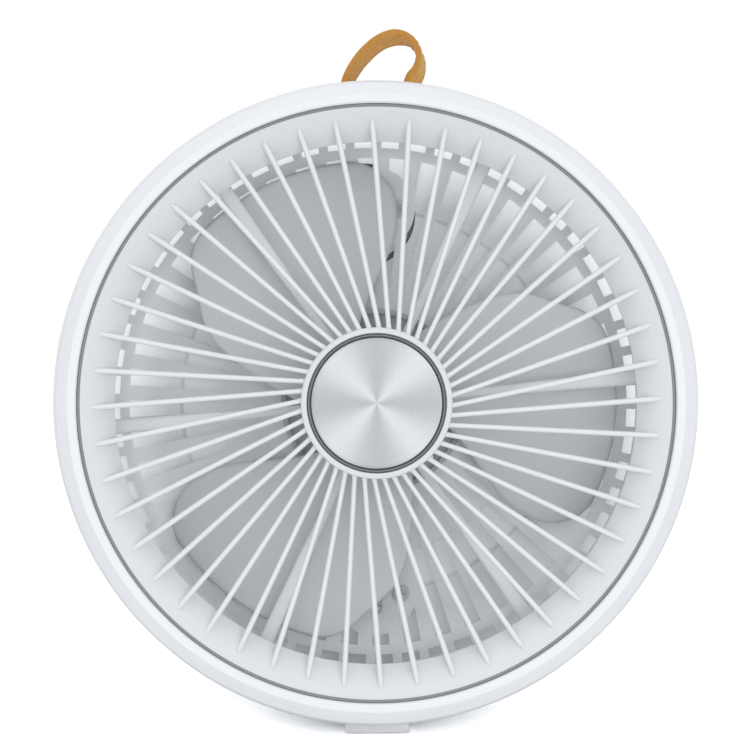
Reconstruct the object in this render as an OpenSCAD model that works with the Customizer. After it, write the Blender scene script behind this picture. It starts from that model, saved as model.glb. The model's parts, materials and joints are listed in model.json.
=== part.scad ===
// Portable camping fan: a ribbed round head on a rear battery pod, with a folding kickstand.
// The head is drawn in a fan frame: z runs from the front face to the rear, -y is up and x is right.
// stand_up() turns that frame upright, leans it back and sets the front foot's flat face on z = 0.

/* [Ring] */
// Outer radius of the white ring
ring_r = 100; // [97:0.5:104]
// Width of the ring's front face, from its outer edge to the accent ring
face_w = 7.4; // [6:0.1:8]
// Thickness of the ring and of the rear shell
shell_wall = 2.2; // [1.8:0.1:2.6]
// Depth of the whole head
head_depth = 50; // [46:0.2:53]
// Share of that depth that the front ring takes, to its joint line with the rear shell
rim_share = 0.508; // [0.49:0.002:0.54]
// Width of the dark accent ring
accent_w = 1.3; // [0.9:0.1:1.8]

/* [Bell mouth] */
// How far the bell mouth narrows from its lip to its throat
bell_flare = 10.2; // [8.5:0.1:11]
// Distance from the front face to the struts, as a share of the head's depth
throat_share = 0.48; // [0.44:0.005:0.49]
// Wall of the bell mouth
bell_wall = 1.8; // [1.5:0.1:2.2]

/* [Ribs] */
// Number of front ribs
rib_count = 48; // [36:1:54]
// Width of a rib
rib_w = 1.75; // [1.4:0.05:2.2]
// Depth of a rib
rib_depth = 3.5; // [2.5:0.1:4.5]
// How far each rib passes beside the fan's axis
rib_offset = 5.6; // [3:0.1:8]
// Number of wide struts behind the ribs
strut_count = 6; // [3:1:8]
// Thickness of a strut along the axis
strut_t = 3.6; // [2.8:0.1:4]

/* [Hub] */
// Outer radius of the hub ring
hub_r = 23.4; // [22.8:0.1:25]
// Wall of the hub ring
hub_wall = 1.8; // [1.2:0.1:2]
// Width of the dark ring round the disc
badge_ring_w = 1; // [0.9:0.05:1.6]

/* [Impeller] */
// Gap between the blade tips and the throat
tip_gap = 3.7; // [3:0.1:6]
// Number of blades
blade_count = 3; // [2:1:4]
// Radius of the impeller's hub cup
cup_r = 22.2; // [21.6:0.1:22.6]
// Wall of the hub cup
cup_wall = 1.6; // [1.2:0.1:1.8]
// Thickness of a blade
blade_t = 1.8; // [1.4:0.1:2.2]
// Pitch of a blade at its tip, in degrees
blade_pitch = 9; // [6:0.5:9.5]

/* [Motor] */
// Diameter of the motor shaft
shaft_d = 3; // [2.5:0.1:3.4]
// Outer diameter of a ball bearing
bearing_d = 10; // [9:0.1:11]
// Width of a ball bearing
bearing_w = 3; // [2.6:0.1:3.2]
// Thickness of the magnets
magnet_t = 1.9; // [1.5:0.1:2.2]
// Number of stator teeth
tooth_count = 9; // [6:3:12]
// Radius of the motor mount
mount_r = 29.8; // [28.6:0.1:30.4]

/* [Rear grille] */
// Number of long rear slots
slot_count = 48; // [36:1:54]
// Open share of each long slot's pitch
slot_share = 0.53; // [0.4:0.01:0.58]
// Number of short outer slots
outer_slot_count = 60; // [48:1:72]
// Radius of the centre opening
grille_bore_r = 21.5; // [20.5:0.1:22]
// Radius of the round islands that carry the pod
island_r = 13.5; // [12.5:0.1:14.5]
// Distance of each island from the axis
island_at = 62; // [60:0.5:63]

/* [Pod] */
// Outer radius of the rear pod
pod_r = 62; // [61.5:0.1:62.4]
// Air gap between the rear grille and the pod
pod_gap = 8; // [7:0.5:10]
// Depth of the pod
pod_depth = 26; // [25.5:0.1:30]
// Wall of the pod
pod_wall = 2.2; // [1.8:0.1:2.4]
// Diameter of a battery cell
cell_d = 18.3; // [17.8:0.1:18.5]
// Length of a battery cell
cell_l = 65; // [63:0.5:65.5]
// Radius of a button
button_r = 6.5; // [5:0.1:7]
// Travel of a button
button_travel = 0.6; // [0.4:0.1:0.8]

/* [Stand] */
// How far the head leans back, in degrees
lean = 10; // [7:0.5:12]
// How far the kickstand opens, in degrees
stand_open = 30; // [26:0.5:33]
// Thickness of the kickstand
stand_t = 6; // [5:0.1:6.6]
// Distance of the hinge below the fan's axis
hinge_drop = 18; // [16:0.5:20]
// Radius of a hinge pin
pin_r = 2; // [1.6:0.1:2.3]
// Thickness of the rubber feet
foot_t = 1.2; // [1:0.1:1.6]

/* [Strap] */
// Width of the leather strap
strap_w = 11; // [9:0.5:12]
// Thickness of the leather strap
strap_t = 2; // [1.6:0.1:2.3]
// Height of the strap loop above its anchor
strap_rise = 24.6; // [23:0.5:32]

/* [Hidden] */
$fn = 96;

// Clearances
fit_gap = 0.05;      // between trims and casings that are pushed together
slide_gap = 0.3;     // between mouldings that are assembled by hand
foot_gap = 0.15;     // between the front foot and the ring it is stuck on
run_gap = 0.05;      // between a pin or shaft and its bore, on the radius
swing_gap = 2.2;     // between turning blades or the stand and what they pass
eps = 0.01;

// Ring and bell mouth
rim_depth = head_depth * rim_share;
throat_depth = head_depth * throat_share;
rim_in = ring_r - shell_wall;
groove_out = ring_r - face_w;
accent_out = groove_out - fit_gap;
accent_in = accent_out - accent_w;
bell_lip_r = accent_in - fit_gap;
throat_r = bell_lip_r - bell_flare;
rim_front = 0.2;
lip_front = 2.6;
accent_front = 2.3;
flange_front = 5.6;
flange_t = 2;
mouth_depth = throat_depth * 0.4;   // depth of the bell mouth's inner edge
bell_depth = mouth_depth - lip_front;
duct_out = 3;         // how far the duct widens behind that edge
throat_end = throat_depth + 5.6;
edge_step = 5.4;      // depth of the ring's outer chamfer
edge_r = 3.4;         // width of the ring's outer chamfer

// Ribs, struts and hub
rib_front = 4;
rib_sink = 0.9;       // how far a rib runs into the wall of the bell mouth
rib_tip_angle = -0.7;
strut_angle = 24.8;
strut_w_out = 4.8;
strut_w_in = 2.6;
hub_front = 1.9;
hub_in = hub_r - hub_wall;
hub_plate_front = 4.4;
hub_plate_t = 2;
strut_front = throat_depth + 1.4;
hub_rear = strut_front + strut_t;
badge_ring_in = hub_in - fit_gap - badge_ring_w;
badge_r = badge_ring_in - fit_gap;
badge_front = 2.5;

// Rear shell and grille
grille_t = 2.2;
grille_front = head_depth - grille_t;
shell_front = rim_depth + 0.2;
back_edge = 10;       // how far the rear shell rounds in
back_r = ring_r - back_edge;
tongue_t = 2;
tongue_front = rim_depth - 5.4;
slot_in = mount_r + 6.4;
slot_out = throat_r - 2.3;
outer_slot_in = slot_out + 3;
outer_slot_out = throat_r + 3.8;
outer_slot_share = 0.66;
island_slot_w = 5;
island_slot_l = 14;
island_screw_x = 8.6;
shell_boss_at = ring_r - 7.8;
shell_boss_r = 3;
shell_boss_end = rim_depth - 2;
shell_screw_count = 6;
shell_seat = head_depth - 16;

// Motor
plate_t = 2.2;
plate_front = grille_front - plate_t;
impeller_front = hub_rear + swing_gap;
impeller_rear = plate_front - 1.2;
blade_mid = 92;       // middle of the first blade, clockwise from the top
shaft_r = shaft_d / 2;
bearing_r = bearing_d / 2;
bearing_bore_r = shaft_r + run_gap / 2;
tube_wall = 1.4;
tube_r = bearing_r + tube_wall;
can_r = cup_r - cup_wall - fit_gap;
can_wall = 1.2;
can_front = impeller_front + cup_wall + fit_gap;
can_rear = impeller_rear - 0.8;
magnet_r = can_r - can_wall - fit_gap;
magnet_front = can_front + can_wall + 0.6;
magnet_rear = can_rear - 0.6;
air_gap = 0.6;
stator_r = magnet_r - magnet_t - air_gap;
stator_mid = (magnet_front + magnet_rear) / 2 - 0.2;
core_t = (magnet_rear - magnet_front) * 0.6;
coil_over = core_t * 0.24;
board_t = 1.2;
driver_rear = plate_front - 0.8;
tube_front = can_front + can_wall + 1;
shaft_front = impeller_front - 3.2;
shaft_rear = plate_front + 0.4;
nut_t = 2.4;
nut_r = 3.2;
mount_screw_at = (grille_bore_r + mount_r) / 2;
mount_screw_r = 1.4;
mount_screw_count = 4;
lead_r = 1.2;
lead_at = tube_r + 2.6;

// Pod
pod_front = head_depth + pod_gap;
pod_rear = pod_front + pod_depth;
pod_split = pod_front + 9;
dish_r = throat_r + 6;   // the shallow dish in front of the pod, behind the rear slots
dish_front = pod_front - 2.4;
dish_t = 1.8;
pod_edge = 11;        // how far the pod's rear edge rounds in
pod_round = pod_depth - 6;
pod_in = pod_r - pod_wall;
inner_front = pod_front + pod_wall;
inner_rear = pod_rear - pod_wall;
collar_r = 12.4;
collar_wall = 2;
cell_r = cell_d / 2;
cell_gap = 0.9;
cell_z = inner_front + cell_r + 1.3;
cell_lower_y = -14.5;
cell_upper_y = cell_lower_y - cell_d - cell_gap;
cradle_top = cell_z - cell_r * 0.35;
cover_boss_r0 = pod_r - 9.96;
cover_boss_x = cell_l / 2 + 4.3;
cover_boss_y = sqrt(cover_boss_r0 * cover_boss_r0 - cover_boss_x * cover_boss_x);
cover_boss_r = 3;
cover_boss_end = pod_split + 5;
cover_seat = pod_rear - 4.6;
board_rear = inner_rear - 4.6;
board_front = board_rear - 1.4;
board_w = 62;
board_top = 4;
board_bottom = 42;
post_x = 27;
button_y = 22;
button_x = 15;
button_proud = 0.9;
button_t = 3.2;
button_collar = 1.2;
switch_w = 6;
switch_t = board_button_gap();
light_count = 4;
light_r = 1;
light_pitch = 5;
light_y = 10;
socket_y = 36;
socket_w = 9;
socket_h = 3.4;
flap_w = 15;
flap_h = 8;
flap_t = 1.2;
flap_recess = 0.9;
flap_pin_r = 0.8;
flap_front = pod_rear - flap_recess + 0.15;
flap_y = socket_y + flap_h / 2 - flap_pin_r;
flap_z = flap_front + 1.1;

// Stand
hinge_z = pod_front + 4.6;
hinge_gap = 0.5;
lug_r = 5;
lug_out = pod_r + 1.4;
arm_w = 6.5;
arm_in = lug_out + hinge_gap;
arm_out = arm_in + arm_w;
stand_in = pod_r + 3.6;
stand_front = hinge_z - stand_t / 2;
head_h = ring_r * cos(lean) + rim_depth * sin(lean) + foot_t;
hinge_h = head_h - hinge_drop * cos(lean) - hinge_z * sin(lean);
stand_l = hinge_h / cos(stand_open - lean);
stand_half = arm_out + 3.6;
stand_bulge = 4.7;
stand_reach = stand_l + stand_bulge;
stand_curve = (stand_half * stand_half + stand_reach * stand_reach) / (2 * stand_reach);
front_foot_w = 20;
front_foot_z = 18.6;
front_foot_l = 9;
head_y = ring_r * sin(lean) - front_foot_z * cos(lean);

// Strap
strap_z = head_depth - 12;
strap_left = -6.6;
strap_right = 12.6;
strap_foot = ring_r - 9.5;
strap_out = 3.4;      // how far the right leg bulges
rivet_r = 1.3;
rivet_y = -strap_foot - 2;
tab_t = 1.6;
anchor_x = (strap_left + strap_right) / 2;

function board_button_gap() = inner_rear - board_rear - button_collar - button_travel - 0.25;
// Point at a clockwise angle from the top and a radius
function polar(p) = [p[1] * sin(p[0]), -p[1] * cos(p[0])];
function back_curve_r(t, w) = back_r + (back_edge - w) * cos(t);
function back_curve_z(t, w) = shell_front + 2 + (head_depth - shell_front - 2 - w) * sin(t);
function pod_curve_r(t, w) = pod_r - pod_edge + (pod_edge - w) * cos(t);
function pod_curve_z(t, w) = pod_rear - pod_round + (pod_round - w) * sin(t);
function bell_r(t) = throat_r + bell_flare * (1 - t);
function bell_z(t) = lip_front + bell_depth * pow(t, 1.2);
// Radius of the bell mouth's wall at depth z
function wall_r(z) = bell_r(pow((z - lip_front) / bell_depth, 1 / 1.2));

// Places the fan frame upright on its front foot, leaning back
module stand_up() {
    translate([0, head_y, head_h]) rotate([-90 - lean, 0, 0]) children();
}

// Tube round the z axis
module tube(r_out, r_in, z0, z1) {
    translate([0, 0, z0]) difference() {
        cylinder(r = r_out, h = z1 - z0);
        translate([0, 0, -1]) cylinder(r = r_in, h = z1 - z0 + 2);
    }
}

// Block from corner a to corner b
module block(a, b) {
    translate(a) cube(b - a);
}

// Rod along x
module rod_x(r, x0, x1, y, z) {
    translate([x0, y, z]) rotate([0, 90, 0]) cylinder(r = r, h = x1 - x0, $fn = 48);
}

// Screw with a pan head at z = seat, its shank running forward
module screw(r, head_r, seat, len, head_t = 1.5) {
    translate([0, 0, seat - len]) cylinder(r = r, h = len, $fn = 32);
    difference() {
        translate([0, 0, seat]) cylinder(r = head_r, h = head_t, $fn = 32);
        for (a = [0, 90]) rotate([0, 0, a])
            block([-head_r * 0.6, -0.3, seat + head_t * 0.45], [head_r * 0.6, 0.3, seat + head_t + 1]);
    }
}

module front_rim() {
    color("white") stand_up() rotate_extrude() polygon([
        [groove_out, 1], [groove_out + 0.6, rim_front + 0.2], [ring_r - edge_r - 0.8, rim_front],
        [ring_r - edge_r, rim_front + 0.5], [ring_r - 0.5, edge_step], [ring_r, edge_step + 1.6],
        [ring_r, rim_depth], [rim_in, rim_depth], [rim_in, flange_front], [groove_out, flange_front]]);
}

module accent_ring() {
    color("dimgray") stand_up() rotate_extrude() polygon([
        [accent_in, accent_front], [accent_in + 0.3, accent_front - 0.2],
        [accent_out - 0.3, accent_front - 0.2], [accent_out, accent_front],
        [accent_out, flange_front], [accent_in, flange_front]]);
}

module bell_mouth() {
    back = flange_front + flange_t;
    rotate_extrude() polygon(concat(
        [for (t = [0 : 0.1 : 1.01]) [bell_r(t), bell_z(t)]],
        [[throat_r + duct_out, throat_end], [throat_r + duct_out + bell_wall, throat_end],
        [throat_r + bell_wall + 0.2, mouth_depth + bell_wall],
        [bell_r(0.65) + bell_wall * 0.5, bell_z(0.65) + bell_wall],
        [wall_r(back - bell_wall) + bell_wall * 0.5, back], [rim_in - slide_gap, back],
        [rim_in - slide_gap, flange_front], [bell_lip_r, flange_front]]));
}

module front_ribs() {
    rib_rear = rib_front + rib_depth;
    rib_from = hub_in + hub_wall / 2;
    end_front = sqrt(pow(wall_r(rib_front) + rib_sink, 2) - pow(rib_offset, 2));
    end_rear = sqrt(pow(wall_r(rib_rear) + rib_sink, 2) - pow(rib_offset, 2));
    hub_end = sqrt(pow(rib_from, 2) - pow(rib_offset, 2));
    turn = rib_tip_angle - atan(rib_offset / end_front);
    for (k = [0 : rib_count - 1]) rotate([0, 0, turn + k * 360 / rib_count])
        translate([rib_offset - rib_w / 2, 0, 0]) rotate([90, 0, 90]) linear_extrude(rib_w)
            polygon([[-hub_end, rib_front], [-end_front, rib_front],
                [-end_rear, rib_rear], [-hub_end, rib_rear]]);
}

module hub_shell() {
    difference() {
        union() {
            tube(hub_r, hub_in, hub_front, hub_rear);
            translate([0, 0, hub_plate_front]) cylinder(r = hub_in + hub_wall / 2, h = hub_plate_t);
        }
        for (k = [0 : shell_screw_count - 1]) rotate([0, 0, k * 60])
            translate([0, hub_in * 0.6, hub_plate_front - 1]) cylinder(r = 1, h = hub_plate_t + 2, $fn = 24);
    }
}

module struts() {
    inner = hub_in + hub_wall / 2;
    outer = throat_r + duct_out + bell_wall * 0.3;
    for (k = [0 : strut_count - 1]) rotate([0, 0, strut_angle + k * 360 / strut_count])
        translate([0, 0, strut_front]) linear_extrude(strut_t)
            polygon([[-strut_w_in / 2, -inner], [strut_w_in / 2, -inner],
                [strut_w_out / 2, -outer], [-strut_w_out / 2, -outer]]);
}

module front_grille() {
    color("whitesmoke") stand_up() difference() {
        union() {
            bell_mouth();
            front_ribs();
            hub_shell();
            struts();
            for (k = [0 : shell_screw_count - 1]) rotate([0, 0, 30 + k * 360 / shell_screw_count])
                translate([0, -shell_boss_at, flange_front + flange_t / 2])
                    cylinder(r = shell_boss_r - 0.2, h = shell_boss_end - flange_front - flange_t / 2,
                        $fn = 32);
        }
        for (k = [0 : shell_screw_count - 1]) rotate([0, 0, 30 + k * 360 / shell_screw_count])
            translate([0, -shell_boss_at, flange_front + flange_t + 2])
                cylinder(r = 1.25, h = shell_boss_end, $fn = 32);
    }
}

module badge_ring() {
    color("dimgray") stand_up() rotate_extrude() polygon([
        [badge_ring_in, hub_front + 0.5], [badge_ring_in + 0.4, hub_front + 0.2],
        [hub_in - fit_gap - 0.3, hub_front + 0.2], [hub_in - fit_gap, hub_front + 0.5],
        [hub_in - fit_gap, hub_plate_front], [badge_ring_in, hub_plate_front]]);
}

module hub_badge() {
    color("silver") stand_up() rotate_extrude() polygon([
        [0, badge_front - 0.1], [badge_r - 0.5, badge_front], [badge_r, badge_front + 0.5],
        [badge_r, hub_plate_front], [0, hub_plate_front]]);
}

// Outline of one blade as seen from the front, leading edge on the clockwise side
module blade_plan() {
    tip = throat_r - tip_gap;
    root = cup_r - cup_wall / 2;
    intersection() {
        polygon(concat(
            [for (p = [[28, root], [37, 31], [44, 41.7], [53, 57.5], [62, 66.5]]) polar(p)],
            [for (a = [74 : 7 : 116]) polar([a, tip + 4])],
            [for (p = [[122, 73.5], [126, 66], [127.5, 55], [125, 45], [118, 34], [106, root]]) polar(p)]));
        circle(r = tip);
    }
}

// One blade: the plan cut from a tilted slab, trailing edge forward and leading edge to the rear
module blade() {
    mid = (impeller_front + impeller_rear) / 2;
    intersection() {
        translate([0, 0, impeller_front]) linear_extrude(impeller_rear - impeller_front) blade_plan();
        rotate([0, 0, blade_mid]) translate([0, 0, mid]) rotate([0, -blade_pitch, 0])
            block([-ring_r, -ring_r, -blade_t / 2], [ring_r, 0, blade_t / 2]);
    }
}

module impeller() {
    color("darkgray") stand_up() difference() {
        union() {
            tube(cup_r, cup_r - cup_wall, impeller_front, impeller_rear);
            translate([0, 0, impeller_front]) cylinder(r = cup_r - cup_wall / 2, h = cup_wall);
            for (k = [0 : blade_count - 1]) rotate([0, 0, k * 360 / blade_count]) difference() {
                blade();
                translate([0, 0, impeller_front - 1]) cylinder(r = cup_r - cup_wall / 2, h = pod_front);
            }
        }
        translate([0, 0, impeller_front - 1]) cylinder(r = shaft_r + fit_gap, h = cup_wall + 2, $fn = 48);
    }
}

module impeller_nut() {
    color("silver") stand_up() translate([0, 0, impeller_front - nut_t - eps]) difference() {
        cylinder(r = nut_r, h = nut_t, $fn = 6);
        translate([0, 0, -1]) cylinder(r = shaft_r + fit_gap, h = nut_t + 2, $fn = 48);
    }
}

module motor_shaft() {
    color("silver") stand_up() difference() {
        translate([0, 0, shaft_front]) cylinder(r = shaft_r, h = shaft_rear - shaft_front, $fn = 48);
        tube(shaft_r + 1, shaft_r - 0.35, clip_at(), clip_at() + 0.7);
    }
}
function clip_at() = rear_bearing_z() + bearing_w + 0.2;
function rear_bearing_z() = shaft_rear - bearing_w - 1.6;

module rotor_can() {
    color("slategray") stand_up() difference() {
        union() {
            tube(can_r, can_r - can_wall, can_front, can_rear);
            translate([0, 0, can_front]) cylinder(r = can_r - can_wall / 2, h = can_wall);
        }
        translate([0, 0, can_front - 1]) cylinder(r = shaft_r + fit_gap, h = can_wall + 2, $fn = 48);
        for (a = [0 : 60 : 300]) rotate([0, 0, a])
            translate([0, can_r * 0.55, can_front - 1]) cylinder(r = 3, h = can_wall + 2, $fn = 32);
    }
}

module magnet_ring() {
    color("dimgray") stand_up() tube(magnet_r, magnet_r - magnet_t, magnet_front, magnet_rear);
}

module stator_core() {
    yoke = tube_r + 2.6;
    color("slategray") stand_up() translate([0, 0, stator_mid - core_t / 2]) difference() {
        union() {
            cylinder(r = yoke, h = core_t);
            for (k = [0 : tooth_count - 1]) rotate([0, 0, k * 360 / tooth_count]) {
                block([-1.2, yoke - 1, 0], [1.2, stator_r - 1, core_t]);
                intersection() {
                    tube(stator_r, stator_r - 1.3, 0, core_t);
                    block([-stator_r * sin(140 / tooth_count), 0, 0],
                        [stator_r * sin(140 / tooth_count), stator_r + 1, core_t]);
                }
            }
        }
        translate([0, 0, -1]) cylinder(r = tube_r + fit_gap, h = core_t + 2);
    }
}

module stator_coils() {
    coil_in = tube_r + 3.1;
    coil_out = stator_r - 1.6;
    z0 = stator_mid - core_t / 2;
    z1 = stator_mid + core_t / 2;
    color("peru") stand_up() for (k = [0 : tooth_count - 1]) rotate([0, 0, k * 360 / tooth_count])
        difference() {
            block([-2.1, coil_in, z0 - coil_over], [2.1, coil_out, z1 + coil_over]);
            block([-1.2 - fit_gap, coil_in - 1, z0 - fit_gap], [1.2 + fit_gap, coil_out + 1, z1 + fit_gap]);
        }
}

module bearing(z0) {
    difference() {
        tube(bearing_r, bearing_bore_r, z0, z0 + bearing_w);
        for (z = [z0 - 1, z0 + bearing_w - 0.3])
            tube(bearing_r - 1, shaft_r + 1, z, z + 1.3);
    }
}

module bearing_front() {
    color("silver") stand_up() bearing(tube_front + 0.6);
}

module bearing_rear() {
    color("silver") stand_up() bearing(rear_bearing_z());
}

module shaft_clip() {
    color("black") stand_up() difference() {
        tube(shaft_r + 1.1, shaft_r - 0.3, clip_at() + 0.1, clip_at() + 0.6);
        block([-0.8, 0, clip_at() - 1], [0.8, shaft_r + 3, clip_at() + 2]);
    }
}

module motor_mount() {
    color("dimgray") stand_up() difference() {
        union() {
            translate([0, 0, plate_front]) cylinder(r = mount_r, h = plate_t);
            translate([0, 0, tube_front]) cylinder(r = tube_r, h = plate_front - tube_front + eps);
            tube(mount_r, mount_r - 1.6, plate_front - 1.6, plate_front + plate_t);
            for (a = [30, 150, 270]) rotate([0, 0, a])
                translate([0, -15, driver_rear])
                    cylinder(r = 1.6, h = plate_front - driver_rear + eps, $fn = 32);
        }
        translate([0, 0, tube_front - 1])
            cylinder(r = bearing_r + fit_gap / 2, h = shaft_rear - tube_front + 1.3);
        for (k = [0 : mount_screw_count - 1]) rotate([0, 0, 45 + k * 360 / mount_screw_count])
            translate([0, -mount_screw_at, plate_front - 3])
                cylinder(r = mount_screw_r - 0.15, h = plate_t + 6, $fn = 32);
        translate([lead_at, 0, plate_front - 3]) cylinder(r = lead_r + slide_gap, h = plate_t + 6, $fn = 32);
    }
}

module driver_board() {
    color("darkgreen") stand_up() difference() {
        union() {
            tube(stator_r - 0.4, tube_r + slide_gap, driver_rear - board_t, driver_rear);
            rotate([0, 0, 205]) block([-3, 10.5, driver_rear - board_t - 1],
                [3, 14, driver_rear - board_t + eps]);
            rotate([0, 0, 120]) block([-1.6, 12, driver_rear - board_t - 0.8],
                [1.6, 15, driver_rear - board_t + eps]);
        }
        translate([lead_at, 0, driver_rear - 0.5]) cylinder(r = lead_r + fit_gap, h = 2, $fn = 32);
    }
}

module motor_screws() {
    color("silver") stand_up() for (k = [0 : mount_screw_count - 1])
        rotate([0, 0, 45 + k * 360 / mount_screw_count]) translate([0, -mount_screw_at, 0])
            screw(mount_screw_r - 0.2, 2.6, head_depth, plate_t + grille_t - 0.6);
}

// A slot between two radii, pointing up, round at its inner end and square at its outer end
module slot_2d(r0, r1, half_angle) {
    c0 = r0 / (1 - sin(half_angle));
    polygon([[-c0 * tan(half_angle), -c0], [c0 * tan(half_angle), -c0],
        [r1 * tan(half_angle), -r1], [-r1 * tan(half_angle), -r1]]);
    translate([0, -c0]) circle(r = c0 * sin(half_angle), $fn = 24);
}

module grille_plate_2d() {
    half = slot_share * 180 / slot_count;
    outer_half = outer_slot_share * 180 / outer_slot_count;
    difference() {
        circle(r = back_r + 1);
        difference() {
            union() {
                for (k = [0 : slot_count - 1]) rotate(6 + k * 360 / slot_count)
                    slot_2d(slot_in, slot_out, half);
                for (k = [0 : outer_slot_count - 1]) rotate(3.9 + k * 360 / outer_slot_count)
                    polygon([
                        [-outer_slot_in * sin(outer_half), -outer_slot_in],
                        [outer_slot_in * sin(outer_half), -outer_slot_in],
                        [outer_slot_out * sin(outer_half), -outer_slot_out],
                        [-outer_slot_out * sin(outer_half), -outer_slot_out]]);
            }
            for (s = [-1, 1]) translate([0, s * island_at]) circle(r = island_r);
        }
        circle(r = grille_bore_r);
        for (s = [-1, 1]) translate([0, s * island_at]) {
            square([island_slot_w, island_slot_l - island_slot_w], center = true);
            for (e = [-1, 1]) translate([0, e * (island_slot_l - island_slot_w) / 2])
                circle(r = island_slot_w / 2, $fn = 32);
            for (e = [-1, 1]) translate([e * island_screw_x, 0]) circle(r = 1.7, $fn = 32);
        }
        for (k = [0 : mount_screw_count - 1]) rotate(45 + k * 360 / mount_screw_count)
            translate([0, -mount_screw_at]) circle(r = mount_screw_r + 0.1, $fn = 32);
    }
}

module shell_wall_solid() {
    rotate_extrude() polygon(concat(
        [[ring_r, shell_front]],
        [for (t = [0 : 10 : 90]) [back_curve_r(t, 0), back_curve_z(t, 0)]],
        [[back_r, grille_front]],
        [for (t = [80 : -10 : 10]) [back_curve_r(t, shell_wall), back_curve_z(t, shell_wall)]],
        [[rim_in - slide_gap - tongue_t, shell_front + 5],
        [rim_in - slide_gap - tongue_t, tongue_front], [rim_in - slide_gap, tongue_front],
        [rim_in - slide_gap, shell_front]]));
}

// Solid form of the rear shell, for trimming what stands inside it
module shell_outer() {
    rotate_extrude() polygon(concat([[0, 0], [ring_r, 0]],
        [for (t = [0 : 10 : 90]) [back_curve_r(t, 0), back_curve_z(t, 0)]], [[0, head_depth]]));
}

module rear_shell() {
    color("white") stand_up() difference() {
        union() {
            shell_wall_solid();
            translate([0, 0, grille_front]) linear_extrude(grille_t) grille_plate_2d();
            for (k = [0 : shell_screw_count - 1]) rotate([0, 0, 30 + k * 360 / shell_screw_count])
                intersection() {
                    translate([0, -shell_boss_at, shell_boss_end])
                        cylinder(r = shell_boss_r + 0.8, h = head_depth, $fn = 32);
                    shell_outer();
                }
            intersection() {
                block([anchor_x - 2.5, -ring_r, strap_z - 4],
                    [anchor_x + 2.5, -strap_foot - fit_gap, strap_z + 4]);
                shell_outer();
            }
        }
        for (k = [0 : shell_screw_count - 1]) rotate([0, 0, 30 + k * 360 / shell_screw_count])
            translate([0, -shell_boss_at, 0]) {
                translate([0, 0, shell_seat]) cylinder(r = shell_boss_r - 0.4, h = head_depth, $fn = 32);
                cylinder(r = 1.5, h = head_depth, $fn = 32);
            }
        for (x = [strap_left, strap_right])
            block([x - strap_t / 2 - slide_gap, -ring_r - 5, strap_z - strap_w / 2 - slide_gap],
                [x + strap_t / 2 + slide_gap, -strap_foot - 1, strap_z + strap_w / 2 + slide_gap]);
    }
}

module shell_screws() {
    color("silver") stand_up() for (k = [0 : shell_screw_count - 1])
        rotate([0, 0, 30 + k * 360 / shell_screw_count]) translate([0, -shell_boss_at, 0])
            screw(1.15, shell_boss_r - 0.7, shell_seat, shell_seat - shell_boss_end + 8);
}

// Centre line of the strap loop: up the left leg, over the crown and down the right leg
function strap_line() = let (top = strap_foot + strap_rise + 3, mid = (strap_left + strap_right) / 2)
    [[strap_left, strap_foot], [strap_left, strap_foot + 9.6], [strap_left - 1, strap_foot + 14],
    [strap_left + 1.6, strap_foot + 20], [mid - 3, top - 4.4], [mid + 3, top - 1.4],
    [mid + 7, top - 1.8], [strap_right + strap_out - 1, top - 6.4],
    [strap_right + strap_out, strap_foot + 18], [strap_right + 1.4, strap_foot + 12.4],
    [strap_right, strap_foot + 9.6], [strap_right, strap_foot]];
// Unit normal of the centre line at point i
function strap_normal(p, i) = let (a = p[max(i - 1, 0)], b = p[min(i + 1, len(p) - 1)], d = b - a)
    [-d[1], d[0]] / norm(d);

module strap() {
    line = strap_line();
    last = len(line) - 1;
    left_side = [for (i = [0 : last]) line[i] + strap_normal(line, i) * strap_t / 2];
    right_side = [for (i = [last : -1 : 0]) line[i] - strap_normal(line, i) * strap_t / 2];
    color("peru") stand_up() difference() {
        translate([0, 0, strap_z - strap_w / 2]) linear_extrude(strap_w)
            polygon([for (p = concat(left_side, right_side)) [p[0], -p[1]]]);
        rod_x(rivet_r + fit_gap, -ring_r, ring_r, rivet_y, strap_z);
    }
}

module strap_anchor() {
    left = strap_left + strap_t / 2 + fit_gap;
    right = strap_right - strap_t / 2 - fit_gap;
    y_top = rivet_y - 2.2;
    y_low = -strap_foot + tab_t - fit_gap;
    color("gray") stand_up() difference() {
        union() {
            block([left, y_top, strap_z - 4], [left + tab_t, y_low, strap_z + 4]);
            block([right - tab_t, y_top, strap_z - 4], [right, y_low, strap_z + 4]);
            block([left, y_low - tab_t, strap_z - 4], [right, y_low, strap_z + 4]);
        }
        rod_x(rivet_r + fit_gap, -ring_r, ring_r, rivet_y, strap_z);
    }
}

module strap_rivets() {
    inset = tab_t + 0.6;
    left = strap_left + strap_t / 2 + inset;
    right = strap_right - strap_t / 2 - inset;
    color("gold") stand_up() {
        rod_x(rivet_r, strap_left - strap_t / 2 - 0.1, left, rivet_y, strap_z);
        rod_x(rivet_r + 0.8, strap_left - strap_t / 2 - 0.9, strap_left - strap_t / 2 - fit_gap,
            rivet_y, strap_z);
        rod_x(rivet_r, right, strap_right + strap_t / 2 + 0.1, rivet_y, strap_z);
        rod_x(rivet_r + 0.8, strap_right + strap_t / 2 + fit_gap, strap_right + strap_t / 2 + 0.9,
            rivet_y, strap_z);
    }
}

module front_foot() {
    color("gray") difference() {
        block([-front_foot_w / 2, -front_foot_l / 2, 0], [front_foot_w / 2, front_foot_l / 2, foot_t + 4]);
        stand_up() translate([0, 0, -5]) cylinder(r = ring_r + foot_gap, h = head_depth, $fn = 256);
    }
}

module pod_skin(w) {
    concat_points = concat([[0, pod_front + w], [pod_r - w, pod_front + w]],
        [for (t = [0 : 10 : 90]) [pod_curve_r(t, w), pod_curve_z(t, w)]], [[0, pod_rear - w]]);
    rotate_extrude() polygon(concat_points);
}

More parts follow.
